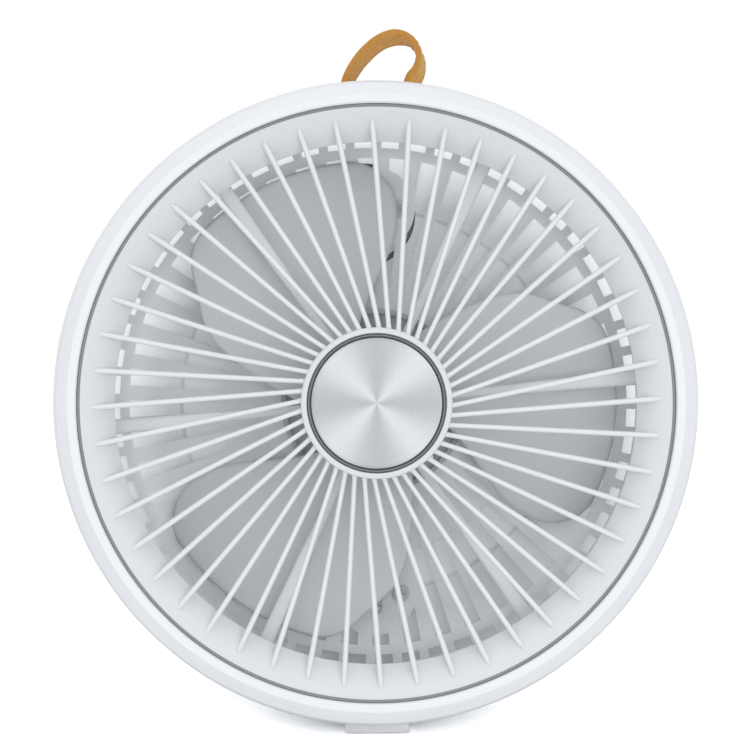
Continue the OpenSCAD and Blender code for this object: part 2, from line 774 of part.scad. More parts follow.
// The dish turns the incoming air outward and closes the view through the rear slots
module pod_dish() {
    rotate_extrude() polygon([[pod_r - 12, dish_front], [dish_r - 8, dish_front], [dish_r, dish_front + 0.8],
        [dish_r, dish_front + 0.8 + dish_t], [dish_r - 8, dish_front + dish_t], [pod_r - 3, dish_front + dish_t],
        [pod_r - 3, pod_front + 0.5], [pod_r - 12, pod_front + 0.5]]);
}

module pod_base() {
    color("white") stand_up() difference() {
        union() {
            difference() {
                union() {
                    intersection() {
                        pod_skin(0);
                        translate([0, 0, pod_front]) cylinder(r = pod_r + 1, h = pod_split - pod_front);
                    }
                    for (s = [-1, 1]) {
                        translate([0, s * island_at, head_depth]) cylinder(r = island_r, h = pod_gap + 0.6);
                        rod_x(lug_r, s * (lug_out + 46) / 2 - (lug_out - 46) / 2,
                            s * (lug_out + 46) / 2 + (lug_out - 46) / 2, hinge_drop, hinge_z);
                    }
                    translate([0, 0, head_depth - grille_t])
                        cylinder(r = collar_r, h = pod_gap + grille_t + 1);
                    pod_dish();
                }
                pod_skin(pod_wall);
                translate([0, 0, head_depth - grille_t - 1])
                    cylinder(r = collar_r - collar_wall, h = pod_gap + grille_t + 5);
            }
            for (x = [-cover_boss_x, cover_boss_x], y = [-cover_boss_y, cover_boss_y])
                translate([x, y, pod_front + 1]) cylinder(r = cover_boss_r, h = cover_boss_end - pod_front - 1,
                    $fn = 32);
        }
        for (x = [-cover_boss_x, cover_boss_x], y = [-cover_boss_y, cover_boss_y])
            translate([x, y, inner_front]) cylinder(r = 1.25, h = pod_depth, $fn = 32);
        for (s = [-1, 1]) translate([0, s * island_at, head_depth - 1]) {
            block([-island_slot_w / 2, -island_slot_l / 2 + 2.5, 0],
                [island_slot_w / 2, island_slot_l / 2 - 2.5, 8]);
            for (e = [-1, 1]) translate([e * island_screw_x, 0, 0]) cylinder(r = 1.25, h = 8, $fn = 32);
        }
        for (s = [-1, 1]) rod_x(pin_r + fit_gap / 2, s * (lug_out + 52) / 2 - (lug_out - 48) / 2,
            s * (lug_out + 52) / 2 + (lug_out - 48) / 2, hinge_drop, hinge_z);
    }
}

module pod_cover() {
    color("white") stand_up() difference() {
        union() {
            intersection() {
                difference() {
                    pod_skin(0);
                    pod_skin(pod_wall);
                }
                translate([0, 0, pod_split + 0.2]) cylinder(r = pod_r + 1, h = pod_depth);
            }
            intersection() {
                pod_skin(pod_wall / 2);
                union() {
                    for (x = [-cover_boss_x, cover_boss_x], y = [-cover_boss_y, cover_boss_y])
                        translate([x, y, cover_boss_end])
                            cylinder(r = cover_boss_r + 0.6, h = pod_depth, $fn = 32);
                    for (x = [-post_x, post_x], y = [board_top + 4, board_bottom - 4])
                        translate([x, y, board_rear]) cylinder(r = 2, h = pod_depth, $fn = 32);
                    for (x = [-20, 20]) difference() {
                        block([x - 1, cell_upper_y - 6, cell_z + 4], [x + 1, cell_lower_y + 6, pod_rear]);
                        for (y = [cell_upper_y, cell_lower_y])
                            rod_x(cell_r + slide_gap / 2, x - 2, x + 2, y, cell_z);
                    }
                }
            }
        }
        for (x = [-cover_boss_x, cover_boss_x], y = [-cover_boss_y, cover_boss_y]) translate([x, y, 0]) {
            translate([0, 0, cover_seat]) cylinder(r = 2.6, h = pod_depth, $fn = 32);
            translate([0, 0, pod_front]) cylinder(r = 1.5, h = pod_depth, $fn = 32);
        }
        for (s = [-1, 1]) translate([s * button_x, button_y, pod_rear - 8])
            cylinder(r = button_r + 0.25, h = 20, $fn = 64);
        for (k = [0 : light_count - 1])
            translate([(k - (light_count - 1) / 2) * light_pitch, light_y, pod_rear - 8])
                cylinder(r = light_r + fit_gap, h = 20, $fn = 32);
        block([-socket_w / 2 - slide_gap, socket_y - socket_h / 2 - slide_gap, pod_rear - 6],
            [socket_w / 2 + slide_gap, socket_y + socket_h / 2 + slide_gap, pod_rear + 5]);
        block([-flap_w / 2 - slide_gap, socket_y - flap_h / 2 - slide_gap, pod_rear - flap_recess],
            [flap_w / 2 + slide_gap, socket_y + flap_h / 2 + slide_gap, pod_rear + 5]);
        for (s = [-1, 1]) rod_x(lug_r + slide_gap, s * 60 - 12, s * 60 + 12, hinge_drop, hinge_z);
    }
}

module pod_screws() {
    color("silver") stand_up() for (s = [-1, 1], e = [-1, 1])
        translate([e * island_screw_x, s * island_at, 0]) mirror([0, 0, 1])
            screw(1.15, 2.6, -grille_front, grille_t + pod_gap * 0.8);
}

module cover_screws() {
    color("silver") stand_up() for (x = [-cover_boss_x, cover_boss_x], y = [-cover_boss_y, cover_boss_y])
        translate([x, y, 0]) screw(1.15, 2.3, cover_seat, cover_seat - cover_boss_end + 8);
}

module battery(y) {
    rod_x(cell_r, -cell_l / 2, cell_l / 2 - 1, y, cell_z);
    rod_x(cell_r * 0.3, cell_l / 2 - 2, cell_l / 2, y, cell_z);
}

module battery_upper() {
    color("steelblue") stand_up() battery(cell_upper_y);
}

module battery_lower() {
    color("steelblue") stand_up() battery(cell_lower_y);
}

module battery_cradle() {
    color("dimgray") stand_up() difference() {
        union() {
            block([-cell_l / 2 + 3, cell_upper_y - cell_r - 1.6, inner_front],
                [cell_l / 2 - 3, cell_lower_y + cell_r + 1.6, cradle_top]);
        }
        for (y = [cell_upper_y, cell_lower_y]) rod_x(cell_r + slide_gap / 2, -cell_l, cell_l, y, cell_z);
        translate([0, 0, inner_front - 1]) cylinder(r = collar_r - collar_wall, h = pod_depth);
    }
}

module main_board() {
    color("darkgreen") stand_up() union() {
        block([-board_w / 2, board_top, board_front], [board_w / 2, board_bottom, board_rear]);
        block([-22, board_top + 6, board_front - 3], [-14, board_top + 14, board_front + eps]);
        block([-4, board_top + 10, board_front - 1.4], [6, board_top + 20, board_front + eps]);
        translate([18, board_top + 12, board_front - 5]) cylinder(r = 3.2, h = 5 + eps, $fn = 32);
    }
}

module charge_socket() {
    color("silver") stand_up() difference() {
        block([-socket_w / 2, socket_y - socket_h / 2, board_rear],
            [socket_w / 2, socket_y + socket_h / 2, pod_rear - flap_recess - flap_t * 0.4]);
        block([-socket_w / 2 + 0.4, socket_y - socket_h / 2 + 0.4, board_rear + 1],
            [socket_w / 2 - 0.4, socket_y + socket_h / 2 - 0.4, pod_rear]);
    }
}

module charge_lights() {
    color("gainsboro") stand_up() for (k = [0 : light_count - 1])
        translate([(k - (light_count - 1) / 2) * light_pitch, light_y, board_rear])
            cylinder(r = light_r, h = pod_rear - board_rear + 0.05, $fn = 32);
}

module button(x) {
    translate([x, button_y, inner_rear - button_collar - 0.05]) {
        cylinder(r = button_r + 1.1, h = button_collar, $fn = 64);
        cylinder(r = button_r - 0.3, h = button_collar + 0.05 + pod_wall + button_proud - 0.4, $fn = 64);
        cylinder(r = button_r, h = button_collar + 0.05 + pod_wall + button_proud - 1, $fn = 64);
    }
}

module power_button() {
    color("gainsboro") stand_up() button(-button_x);
}

module speed_button() {
    color("gainsboro") stand_up() button(button_x);
}

module button_switches() {
    color("black") stand_up() for (s = [-1, 1]) translate([s * button_x, button_y, board_rear]) {
        translate([-switch_w / 2, -switch_w / 2, 0]) cube([switch_w, switch_w, switch_t * 0.6]);
        cylinder(r = 1.6, h = switch_t, $fn = 32);
    }
}

module port_cover() {
    color("gray") stand_up() union() {
        block([-flap_w / 2, socket_y - flap_h / 2, flap_front], [flap_w / 2, flap_y, flap_front + flap_t]);
        rod_x(flap_pin_r, -flap_w / 2, flap_w / 2, flap_y, flap_z);
    }
}

// A lead held all the way: straight lengths of round cable with ball joints
module lead(points) {
    for (i = [0 : len(points) - 2]) {
        a = points[i];
        d = points[i + 1] - a;
        translate(a) rotate([0, acos(d[2] / norm(d)), atan2(d[1], d[0])])
            cylinder(r = lead_r, h = norm(d), $fn = 24);
        if (i > 0) translate(a) sphere(r = lead_r * 1.2, $fn = 24);
    }
}

module motor_lead() {
    run = inner_front + 2;
    color("dimgray") stand_up() lead([[lead_at, 0, driver_rear - 0.5], [lead_at, 0, head_depth + 1],
        [5, 4, pod_front - 2], [4, 5, run], [8, 12, run + 6], [8, 12, board_front - fit_gap]]);
}

// The flat twin lead from the lower cell, folded at right angles round the cell's end
module battery_lead() {
    x0 = -cell_l / 2 - 1.2 - 2 * lead_r;
    y1 = board_top + 7 + lead_r;
    z = [cell_z - lead_r / 2, cell_z + lead_r / 2];
    color("firebrick") stand_up() union() {
        block([x0, cell_lower_y - 2, z[0]], [x0 + 2 * lead_r, y1, z[1]]);
        block([x0, y1 - 2 * lead_r, z[0]], [-26, y1, z[1]]);
        block([-26 - lead_r, y1 - 2 * lead_r, z[0]], [-26, y1, board_front - fit_gap]);
    }
}

// Outline of the kickstand when it is folded, in the fan frame
module stand_plan() {
    difference() {
        intersection() {
            translate([0, hinge_drop + stand_reach - stand_curve]) circle(r = stand_curve);
            translate([-ring_r, hinge_drop - stand_t * 0.8]) square([2 * ring_r, 2 * ring_r]);
        }
        circle(r = stand_in);
        translate([-arm_in, 0]) square([2 * arm_in, hinge_drop + lug_r + 1.4]);
    }
}

// The open kickstand down to below the ground
module stand_full() {
    stand_up() translate([0, hinge_drop, hinge_z]) rotate([stand_open, 0, 0])
        translate([0, -hinge_drop, -hinge_z]) difference() {
            union() {
                translate([0, 0, stand_front]) linear_extrude(stand_t) stand_plan();
                for (s = [-1, 1]) rod_x(lug_r - 0.2, s * (arm_in + arm_out) / 2 - arm_w / 2,
                    s * (arm_in + arm_out) / 2 + arm_w / 2, hinge_drop, hinge_z);
            }
            rod_x(pin_r + run_gap, -ring_r, ring_r, hinge_drop, hinge_z);
            for (s = [-1, 1]) rod_x(pin_r + 1 + slide_gap, s * (arm_out + 10) - 10, s * (arm_out + 10) + 10,
                hinge_drop, hinge_z);
        }
}

module stand() {
    color("white") difference() {
        stand_full();
        block([-2 * ring_r, -2 * ring_r, -2 * ring_r], [2 * ring_r, 2 * ring_r, foot_t]);
    }
}

module stand_foot() {
    color("gray") intersection() {
        stand_full();
        block([-2 * ring_r, -2 * ring_r, 0], [2 * ring_r, 2 * ring_r, foot_t]);
    }
}

module stand_pins() {
    color("silver") stand_up() for (s = [-1, 1]) {
        pin_mid = s * (arm_out + lug_out - 6) / 2;
        pin_half = (arm_out - lug_out + 6) / 2;
        rod_x(pin_r, pin_mid - pin_half, pin_mid + pin_half, hinge_drop, hinge_z);
        rod_x(pin_r + 1, s * (arm_out + 0.8) - 0.5, s * (arm_out + 0.8) + 0.5, hinge_drop, hinge_z);
    }
}

front_rim();
accent_ring();
front_grille();
badge_ring();
hub_badge();
impeller();
impeller_nut();
motor_shaft();
rotor_can();
magnet_ring();
stator_core();
stator_coils();
bearing_front();
bearing_rear();
shaft_clip();
motor_mount();
driver_board();
motor_screws();
rear_shell();
shell_screws();
strap();
strap_anchor();
strap_rivets();
front_foot();
pod_base();
pod_cover();
pod_screws();
cover_screws();
battery_upper();
battery_lower();
battery_cradle();
main_board();
charge_socket();
charge_lights();
power_button();
speed_button();
button_switches();
port_cover();
motor_lead();
battery_lead();
stand();
stand_pins();
stand_foot();
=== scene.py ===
"""Portable camping fan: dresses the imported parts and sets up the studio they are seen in."""
import json
import logging
import math
from collections.abc import Iterator
from contextlib import contextmanager
from dataclasses import dataclass
from enum import Enum

import bmesh
import bpy
from mathutils import Matrix, Vector


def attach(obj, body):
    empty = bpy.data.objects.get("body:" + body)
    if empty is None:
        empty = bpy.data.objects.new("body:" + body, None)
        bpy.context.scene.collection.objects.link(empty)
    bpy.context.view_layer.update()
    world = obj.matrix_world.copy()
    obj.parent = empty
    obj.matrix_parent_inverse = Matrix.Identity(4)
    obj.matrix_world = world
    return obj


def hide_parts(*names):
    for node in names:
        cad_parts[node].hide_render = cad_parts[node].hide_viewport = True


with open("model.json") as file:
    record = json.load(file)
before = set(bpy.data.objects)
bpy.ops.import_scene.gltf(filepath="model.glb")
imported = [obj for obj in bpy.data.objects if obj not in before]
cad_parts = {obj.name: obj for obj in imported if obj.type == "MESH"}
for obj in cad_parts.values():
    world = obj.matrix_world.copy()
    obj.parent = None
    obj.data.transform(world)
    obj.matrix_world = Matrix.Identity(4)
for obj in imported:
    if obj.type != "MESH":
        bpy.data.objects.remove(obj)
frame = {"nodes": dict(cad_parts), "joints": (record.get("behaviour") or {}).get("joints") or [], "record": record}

logging.basicConfig(level=logging.INFO, format="%(message)s")
log = logging.getLogger("camping_fan")

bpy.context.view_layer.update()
MM = 0.001
RGB = tuple[float, float, float]
RGBA = tuple[float, float, float, float]
Profile = list[tuple[float, float]]


def tone(red: float, green: float, blue: float) -> RGBA:
    """A colour given in 0-255 display values, as linear values with full alpha."""
    def linear(value: float) -> float:
        """One channel in linear light."""
        share = value / 255
        return share / 12.92 if share <= 0.04045 else ((share + 0.055) / 1.055) ** 2.4
    return (linear(red), linear(green), linear(blue), 1.0)


class Place:
    """The fan's own frame in millimetres: z from the front face to the rear, y down, x right."""
    spin_depth = 36.0

    def __init__(self) -> None:
        """Reads the fan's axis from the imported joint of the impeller."""
        joint = next(j for j in frame["joints"] if j["name"] == "impeller_spin")
        self.axis = Vector(joint["axis"]).normalized()
        self.right = Vector((1, 0, 0))
        self.down = self.axis.cross(self.right)
        self.front = Vector(joint["pos_m"]) - self.axis * self.spin_depth * MM
        rows = Matrix((self.right, self.down, self.axis)).transposed().to_4x4()
        self.matrix = Matrix.Translation(self.front) @ rows @ Matrix.Scale(MM, 4)

    def point(self, x: float, y: float, z: float) -> Vector:
        """A point of the fan's frame, in metres of the shared frame."""
        return self.matrix @ Vector((x, y, z))


PLACE = Place()
BODY_OF = {node: body for body, nodes in frame["record"]["behaviour"]["bodies"].items()
           for node in nodes}


# ---------------------------------------------------------------- shader and geometry trees

class Wire:
    """A shader value that takes part in Python arithmetic by adding Math nodes."""

    def __init__(self, tree: bpy.types.NodeTree, socket: bpy.types.NodeSocket) -> None:
        """Wraps an output socket of a node tree."""
        self.tree = tree
        self.socket = socket

    def maths(self, operation: str, *others: "Wire | float", swap: bool = False,
              clamp: bool = False) -> "Wire":
        """Adds one Math node.

        Args:
            operation: The Math node's operation.
            others: The other operands.
            swap: Whether the other operand comes first.
            clamp: Whether the result is held between 0 and 1.

        Returns:
            The node's result.
        """
        node = self.tree.nodes.new("ShaderNodeMath")
        node.operation = operation
        node.use_clamp = clamp
        values = [*others, self] if swap else [self, *others]
        for socket, value in zip(node.inputs, values):
            if isinstance(value, Wire):
                self.tree.links.new(value.socket, socket)
            else:
                socket.default_value = value
        return Wire(self.tree, node.outputs[0])

    def __add__(self, other: "Wire | float") -> "Wire":
        """Sum."""
        return self.maths("ADD", other)

    __radd__ = __add__

    def __mul__(self, other: "Wire | float") -> "Wire":
        """Product."""
        return self.maths("MULTIPLY", other)

    __rmul__ = __mul__

    def __sub__(self, other: "Wire | float") -> "Wire":
        """Difference."""
        return self.maths("SUBTRACT", other)

    def __rsub__(self, other: "Wire | float") -> "Wire":
        """Difference with the operands the other way round."""
        return self.maths("SUBTRACT", other, swap=True)

    def __truediv__(self, other: "Wire | float") -> "Wire":
        """Quotient."""
        return self.maths("DIVIDE", other)

    def __pow__(self, other: float) -> "Wire":
        """Power."""
        return self.maths("POWER", other)

    def held(self) -> "Wire":
        """The value held between 0 and 1."""
        return self.maths("ADD", 0.0, clamp=True)

    def past(self, start: float, slope: float) -> "Wire":
        """0 up to start, then a rise of slope per metre that ends at 1."""
        return ((self - start) * slope).held()


class Graph:
    """A node tree that is built one node at a time."""

    def __init__(self, tree: bpy.types.NodeTree) -> None:
        """Starts on an existing tree."""
        self.tree = tree

    def node(self, kind: str, settings: dict | None = None,
             inputs: dict | None = None) -> bpy.types.Node:
        """Adds one node.

        Args:
            kind: The node's type.
            settings: Properties that are set first.
            inputs: Values or links of its sockets, by name or number.

        Returns:
            The node.
        """
        made = self.tree.nodes.new(kind)
        for name, value in (settings or {}).items():
            setattr(made, name, value)
        for name, value in (inputs or {}).items():
            socket = made.inputs[name]
            if isinstance(value, (Wire, bpy.types.NodeSocket)):
                self.tree.links.new(getattr(value, "socket", value), socket)
            else:
                socket.default_value = value
        return made

    def wire(self, kind: str, settings: dict | None = None, inputs: dict | None = None,
             out: int | str = 0) -> Wire:
        """Adds one node and returns one of its outputs as a value."""
        return Wire(self.tree, self.node(kind, settings, inputs).outputs[out])


class Paint(Graph):
    """A material's node tree with the maps that the finishes share."""

    def __init__(self, name: str) -> None:
        """Starts an empty material."""
        self.material = bpy.data.materials.new(name)
        self.material.use_nodes = True
        super().__init__(self.material.node_tree)
        self.tree.nodes.clear()
        self.place = self.wire("ShaderNodeTexCoord", out="Object")

    def noise(self, scale: float, detail: float = 3, roughness: float = 0.55) -> Wire:
        """Soft noise from 0 to 1 on the piece's own coordinates."""
        return self.wire("ShaderNodeTexNoise", {"noise_dimensions": "3D"},
                         {"Vector": self.place, "Scale": scale, "Detail": detail,
                          "Roughness": roughness})

    def mix(self, share: Wire, low: RGBA | Wire, high: RGBA | Wire) -> Wire:
        """Two colours mixed by a share."""
        return self.wire("ShaderNodeMix", {"data_type": "RGBA"}, {0: share, 6: low, 7: high}, 2)

    def grey(self, level: Wire, tint: RGB) -> Wire:
        """A level as a colour, with a factor each for red, green and blue."""
        return self.wire("ShaderNodeCombineColor", None,
                         {i: level * factor for i, factor in enumerate(tint)})

    def bump(self, height: Wire, distance: float, strength: float = 1.0,
             before: Wire | None = None) -> Wire:
        """A surface relief of the given depth in metres, on top of an earlier one, if any."""
        inputs = {"Height": height, "Distance": distance, "Strength": strength}
        if before is not None:
            inputs["Normal"] = before
        return self.wire("ShaderNodeBump", None, inputs)

    def head_place(self) -> Wire:
        """The piece's coordinates turned to the fan's frame, in metres, centred on its axis."""
        tilt = math.asin(-PLACE.axis.z)
        shifted = self.wire("ShaderNodeVectorMath", {"operation": "SUBTRACT"},
                            {0: self.place, 1: tuple(PLACE.front)})
        return self.wire("ShaderNodeMapping", {"vector_type": "POINT"},
                         {"Vector": shifted, "Rotation": (math.pi / 2 + tilt, 0, 0)})

    def split(self, vector: Wire) -> tuple[Wire, Wire, Wire]:
        """The three parts of a vector."""
        made = self.node("ShaderNodeSeparateXYZ", None, {0: vector})
        return tuple(Wire(self.tree, out) for out in made.outputs)

    def polar(self) -> tuple[Wire, Wire, Wire, Wire]:
        """Distance right, down and back in the fan's frame, and radius from its axis, in metres."""
        x, y, back = self.split(self.head_place())
        return x, y, back, (x * x + y * y).maths("SQRT")

    def finish(self, colour: Wire | RGBA, roughness: Wire | float, normal: Wire | None = None,
               **uniform: Wire | float | tuple) -> bpy.types.Material:
        """Ends the material with a Principled shader.

        Args:
            colour: Base colour.
            roughness: Roughness.
            normal: Relief, if the surface has one.
            uniform: Other sockets by name, with _ for spaces; all but the emission's colour are
                the same all over.

        Returns:
            The material.
        """
        inputs = {"Base Color": colour, "Roughness": roughness}
        if normal is not None:
            inputs["Normal"] = normal
        inputs.update({name.replace("_", " "): value for name, value in uniform.items()})
        shader = self.node("ShaderNodeBsdfPrincipled", None, inputs)
        self.node("ShaderNodeOutputMaterial", None, {"Surface": shader.outputs[0]})
        return self.material


# ---------------------------------------------------------------- finishes

@dataclass(frozen=True)
class Finish:
    """What every finish has: its name, its material slot and its main colour."""
    name: str
    slot: str
    colour: RGB

    def shade(self, factor: float = 1.0, lift: float = 0.0) -> RGBA:
        """The main colour in linear light, times a factor and lifted by an amount."""
        return tuple(min(1, c * factor + lift) for c in tone(*self.colour)[:3]) + (1,)

    def material(self) -> bpy.types.Material:
        """Builds the material; each kind of finish has its own."""
        raise NotImplementedError


class Relief(Enum):
    """Grain of a moulded surface, as its scale and its depth in metres."""
    SATIN = (1400, 0.000008)
    MATT = (1700, 0.00002)


@dataclass(frozen=True)
class MouldedPlastic(Finish):
    """Injection-moulded plastic with a fine tool texture, faint flow tones and handling marks.

    With inside above 0, the faces inside the head carry a painted glow, emitted light that lifts
    the shade they lie in: those between the radii inner_r and outer_r that lie in front of the
    depth front_to.
    """
    roughness: float = 0.4
    relief: Relief = Relief.SATIN
    tint: float = 0.02
    inside: float = 0.0
    inner_r: float = 0.07
    outer_r: float = 0.0868
    front_to: float = 0.0492
    inner_slope: float = 130
    outer_slope: float = 1500
    depth_slope: float = 1200
    glow: RGB = (0.96, 1, 1.04)

    def painted_glow_sockets(self, paint: Paint) -> dict[str, Wire | float]:
        """Emission sockets of the painted glow on the faces inside the head, or none."""
        if not self.inside:
            return {}
        # Painted glow: emitted light that lifts the shade inside the head, zero behind the depth front_to and
        # outside the radii inner_r to outer_r.
        _, _, back, radius = paint.polar()
        level = self.inside * (1 - back.past(self.front_to, self.depth_slope))
        level = level * (1 - radius.past(self.outer_r, self.outer_slope))
        level = level * radius.past(self.inner_r, self.inner_slope)
        return {"Emission_Strength": 1.0, "Emission_Color": paint.grey(level, self.glow)}

    def material(self) -> bpy.types.Material:
        """Builds the plastic."""
        paint = Paint(self.name)
        flow, fine = paint.noise(22, 2), paint.noise(420, 3)
        colour = paint.mix(flow * 0.75 + fine * 0.25, self.shade(1 - self.tint * 2),
                           self.shade(1 + self.tint))
        roughness = (paint.noise(60, 4, 0.7) - 0.5) * 0.16 + self.roughness
        scale, depth = self.relief.value
        waves = paint.bump(flow, 0.00012, 0.35)
        return paint.finish(colour, roughness, paint.bump(paint.noise(scale, 2), depth, 0.6, waves),
                            IOR=1.47, Coat_Weight=0.0, Specular_IOR_Level=0.45,
                            **self.painted_glow_sockets(paint))


@dataclass(frozen=True)
class GlowPaintedPlastic(Finish):
    """White plastic with a painted glow, emitted light that stands in for light through it: least near the pod,
    and fading toward the bottom, behind the stand, as painted shade.
    """
    inner: float = 0.066
    outer: float = 0.084
    light: float = 0.26
    least: float = 0.055
    fade_from: float = -0.004
    fade_to: float = 0.058
    glow: RGB = (1, 1.01, 1.02)

    def material(self) -> bpy.types.Material:
        """Builds the plastic with its painted glow."""
        paint = Paint(self.name)
        _, y, _, radius = paint.polar()
        # Painted glow, strongest out at the rim; lower down it fades away as painted shade behind the stand.
        out = radius.past(self.inner, 1 / (self.outer - self.inner))
        free = 1 - y.past(self.fade_from, 1 / (self.fade_to - self.fade_from))
        cloud = paint.noise(60, 2)
        level = (out * free * self.light + self.least) * (cloud * 0.1 + 0.95)
        colour = paint.mix(cloud, self.shade(0.97), self.shade())
        return paint.finish(colour, 0.5, None, Emission_Strength=1.0,
                            Emission_Color=paint.grey(level, self.glow))


@dataclass(frozen=True)
class SpunMetal(Finish):
    """Metal that was turned on a lathe: fine rings, and bright wedges on the diagonals that are painted highlights
    for the reflections of its spun rings.
    """
    dull: RGB
    roughness: float = 0.34
    metallic: float = 0.55

    def material(self) -> bpy.types.Material:
        """Builds the turned metal."""
        paint = Paint(self.name)
        x, y, _, radius = paint.polar()
        # Painted highlight: bright wedges on the diagonals, where the spun rings' reflections would fall.
        wedge = (x * y / (x * x + y * y + 1e-9)).maths("ABSOLUTE") * 2
        painted_highlight = (wedge ** 2.2).held()
        rings, broad = (
            paint.wire("ShaderNodeTexNoise", {"noise_dimensions": "1D"},
                       {"W": radius, "Scale": scale, "Detail": detail, "Roughness": rough})
            for scale, detail, rough in ((9000, 4, 0.75), (1300, 2, 0.5)))
        grain = paint.noise(2400, 3, 0.7)
        share = (painted_highlight * 0.74 + rings * 0.16 + broad * 0.06 + grain * 0.7 - 0.36).held()
        colour = paint.mix(share, tone(*self.dull), self.shade())
        roughness = self.roughness + (rings - 0.5) * 0.2
        return paint.finish(colour, roughness, paint.bump(rings, 0.00002, 0.5),
                            Metallic=self.metallic)


@dataclass(frozen=True)
class PlainMetal(Finish):
    """Plated or machined metal with fine marks and a little tarnish."""
    roughness: float = 0.3
    metallic: float = 1.0

    def material(self) -> bpy.types.Material:
        """Builds the metal."""
        paint = Paint(self.name)
        marks, tarnish = paint.noise(700, 4, 0.7), paint.noise(120, 3)
        colour = paint.mix(tarnish, self.shade(0.8), self.shade())
        roughness = self.roughness + marks * 0.18 + tarnish * 0.08
        return paint.finish(colour, roughness, paint.bump(marks, 0.00001, 0.5),
                            Metallic=self.metallic)


@dataclass(frozen=True)
class SuedeLeather(Finish):
    """Tan split leather with a short nap, pores and burnished edges."""
    dark: RGB
    edge: RGB
    rim_power: float = 16

    def material(self) -> bpy.types.Material:
        """Builds the leather, whose U runs across the strap and V along it."""
        paint = Paint(self.name)
        across, _, _ = paint.split(paint.wire("ShaderNodeUVMap"))
        cloud, nap = paint.noise(260, 4, 0.65), paint.noise(2600, 4, 0.75)
        fleck = paint.noise(1000, 2, 0.7)
        pores = paint.wire("ShaderNodeTexVoronoi", {"feature": "F1"},
                           {"Vector": paint.place, "Scale": 1500}, "Distance")
        share = (cloud * 0.6 + nap * 0.45 + fleck * 1.1 - 0.58).held()
        colour = paint.mix(share, tone(*self.dark), self.shade())
        rim = ((across - 0.5).maths("ABSOLUTE") * 2) ** self.rim_power
        colour = paint.mix((rim * 0.75).held(), colour, tone(*self.edge))
        height = nap * 0.6 + pores * 0.5 + cloud * 0.4
        return paint.finish(colour, 0.82 + (nap - 0.5) * 0.2, paint.bump(height, 0.00012, 0.7),
                            Sheen_Weight=0.25, Sheen_Roughness=0.5,
                            Sheen_Tint=(1.0, 0.86, 0.68, 1.0))


class Turns(Enum):
    """How the turns of thread or wire lie, as the bands' direction, scale and wobble."""
    TWISTED = ("DIAGONAL", 900, 1.5)
    WOUND = ("Y", 620, 0.4)


@dataclass(frozen=True)
class Strand(Finish):
    """Twisted thread, or enamelled wire wound side by side."""
    turns: Turns
    dark: float
    roughness: float
    relief: tuple[float, float]
    metallic: float = 0.0

    def material(self) -> bpy.types.Material:
        """Builds the strand."""
        paint = Paint(self.name)
        direction, scale, wobble = self.turns.value
        where = paint.head_place() if self.turns is Turns.WOUND else paint.place
        bands = paint.wire("ShaderNodeTexWave",
                           {"wave_type": "BANDS", "bands_direction": direction},
                           {"Vector": where, "Scale": scale, "Distortion": wobble})
        return paint.finish(paint.mix(bands, self.shade(self.dark), self.shade()), self.roughness,
                            paint.bump(bands, *self.relief), Metallic=self.metallic)


@dataclass(frozen=True)
class Rubber(Finish):
    """Soft moulded rubber with a dusty bloom."""

    def material(self) -> bpy.types.Material:
        """Builds the rubber."""
        paint = Paint(self.name)
        dust = paint.noise(180, 5, 0.7)
        return paint.finish(paint.mix(dust, self.shade(), self.shade(1.35, 0.01)),
                            0.72 + (dust - 0.5) * 0.2,
                            paint.bump(paint.noise(1100, 3), 0.00004, 0.7))


@dataclass(frozen=True)
class BoardLacquer(Finish):
    """Printed-circuit board under green lacquer, with faint tracks."""
    track: RGB

    def material(self) -> bpy.types.Material:
        """Builds the board."""
        paint = Paint(self.name)
        cells = paint.wire("ShaderNodeTexVoronoi", {"distance": "MANHATTAN", "feature": "F1"},
                           {"Vector": paint.place, "Scale": 260}, "Distance")
        tracks = ((cells - 0.42) * 14).held()
        colour = paint.mix(tracks, self.shade(), tone(*self.track))
        return paint.finish(colour, 0.32 + tracks * 0.12, paint.bump(tracks, 0.00003, 0.5))


@dataclass(frozen=True)
class LightPipe(Finish):
    """Milky diffuser of a charge light."""

    def material(self) -> bpy.types.Material:
        """Builds the diffuser."""
        paint = Paint(self.name)
        cloud = paint.noise(900, 2)
        return paint.finish(paint.mix(cloud, self.shade(0.9), self.shade()), 0.28 + cloud * 0.1,
                            paint.bump(cloud, 0.00001, 0.4), Transmission_Weight=0.25)


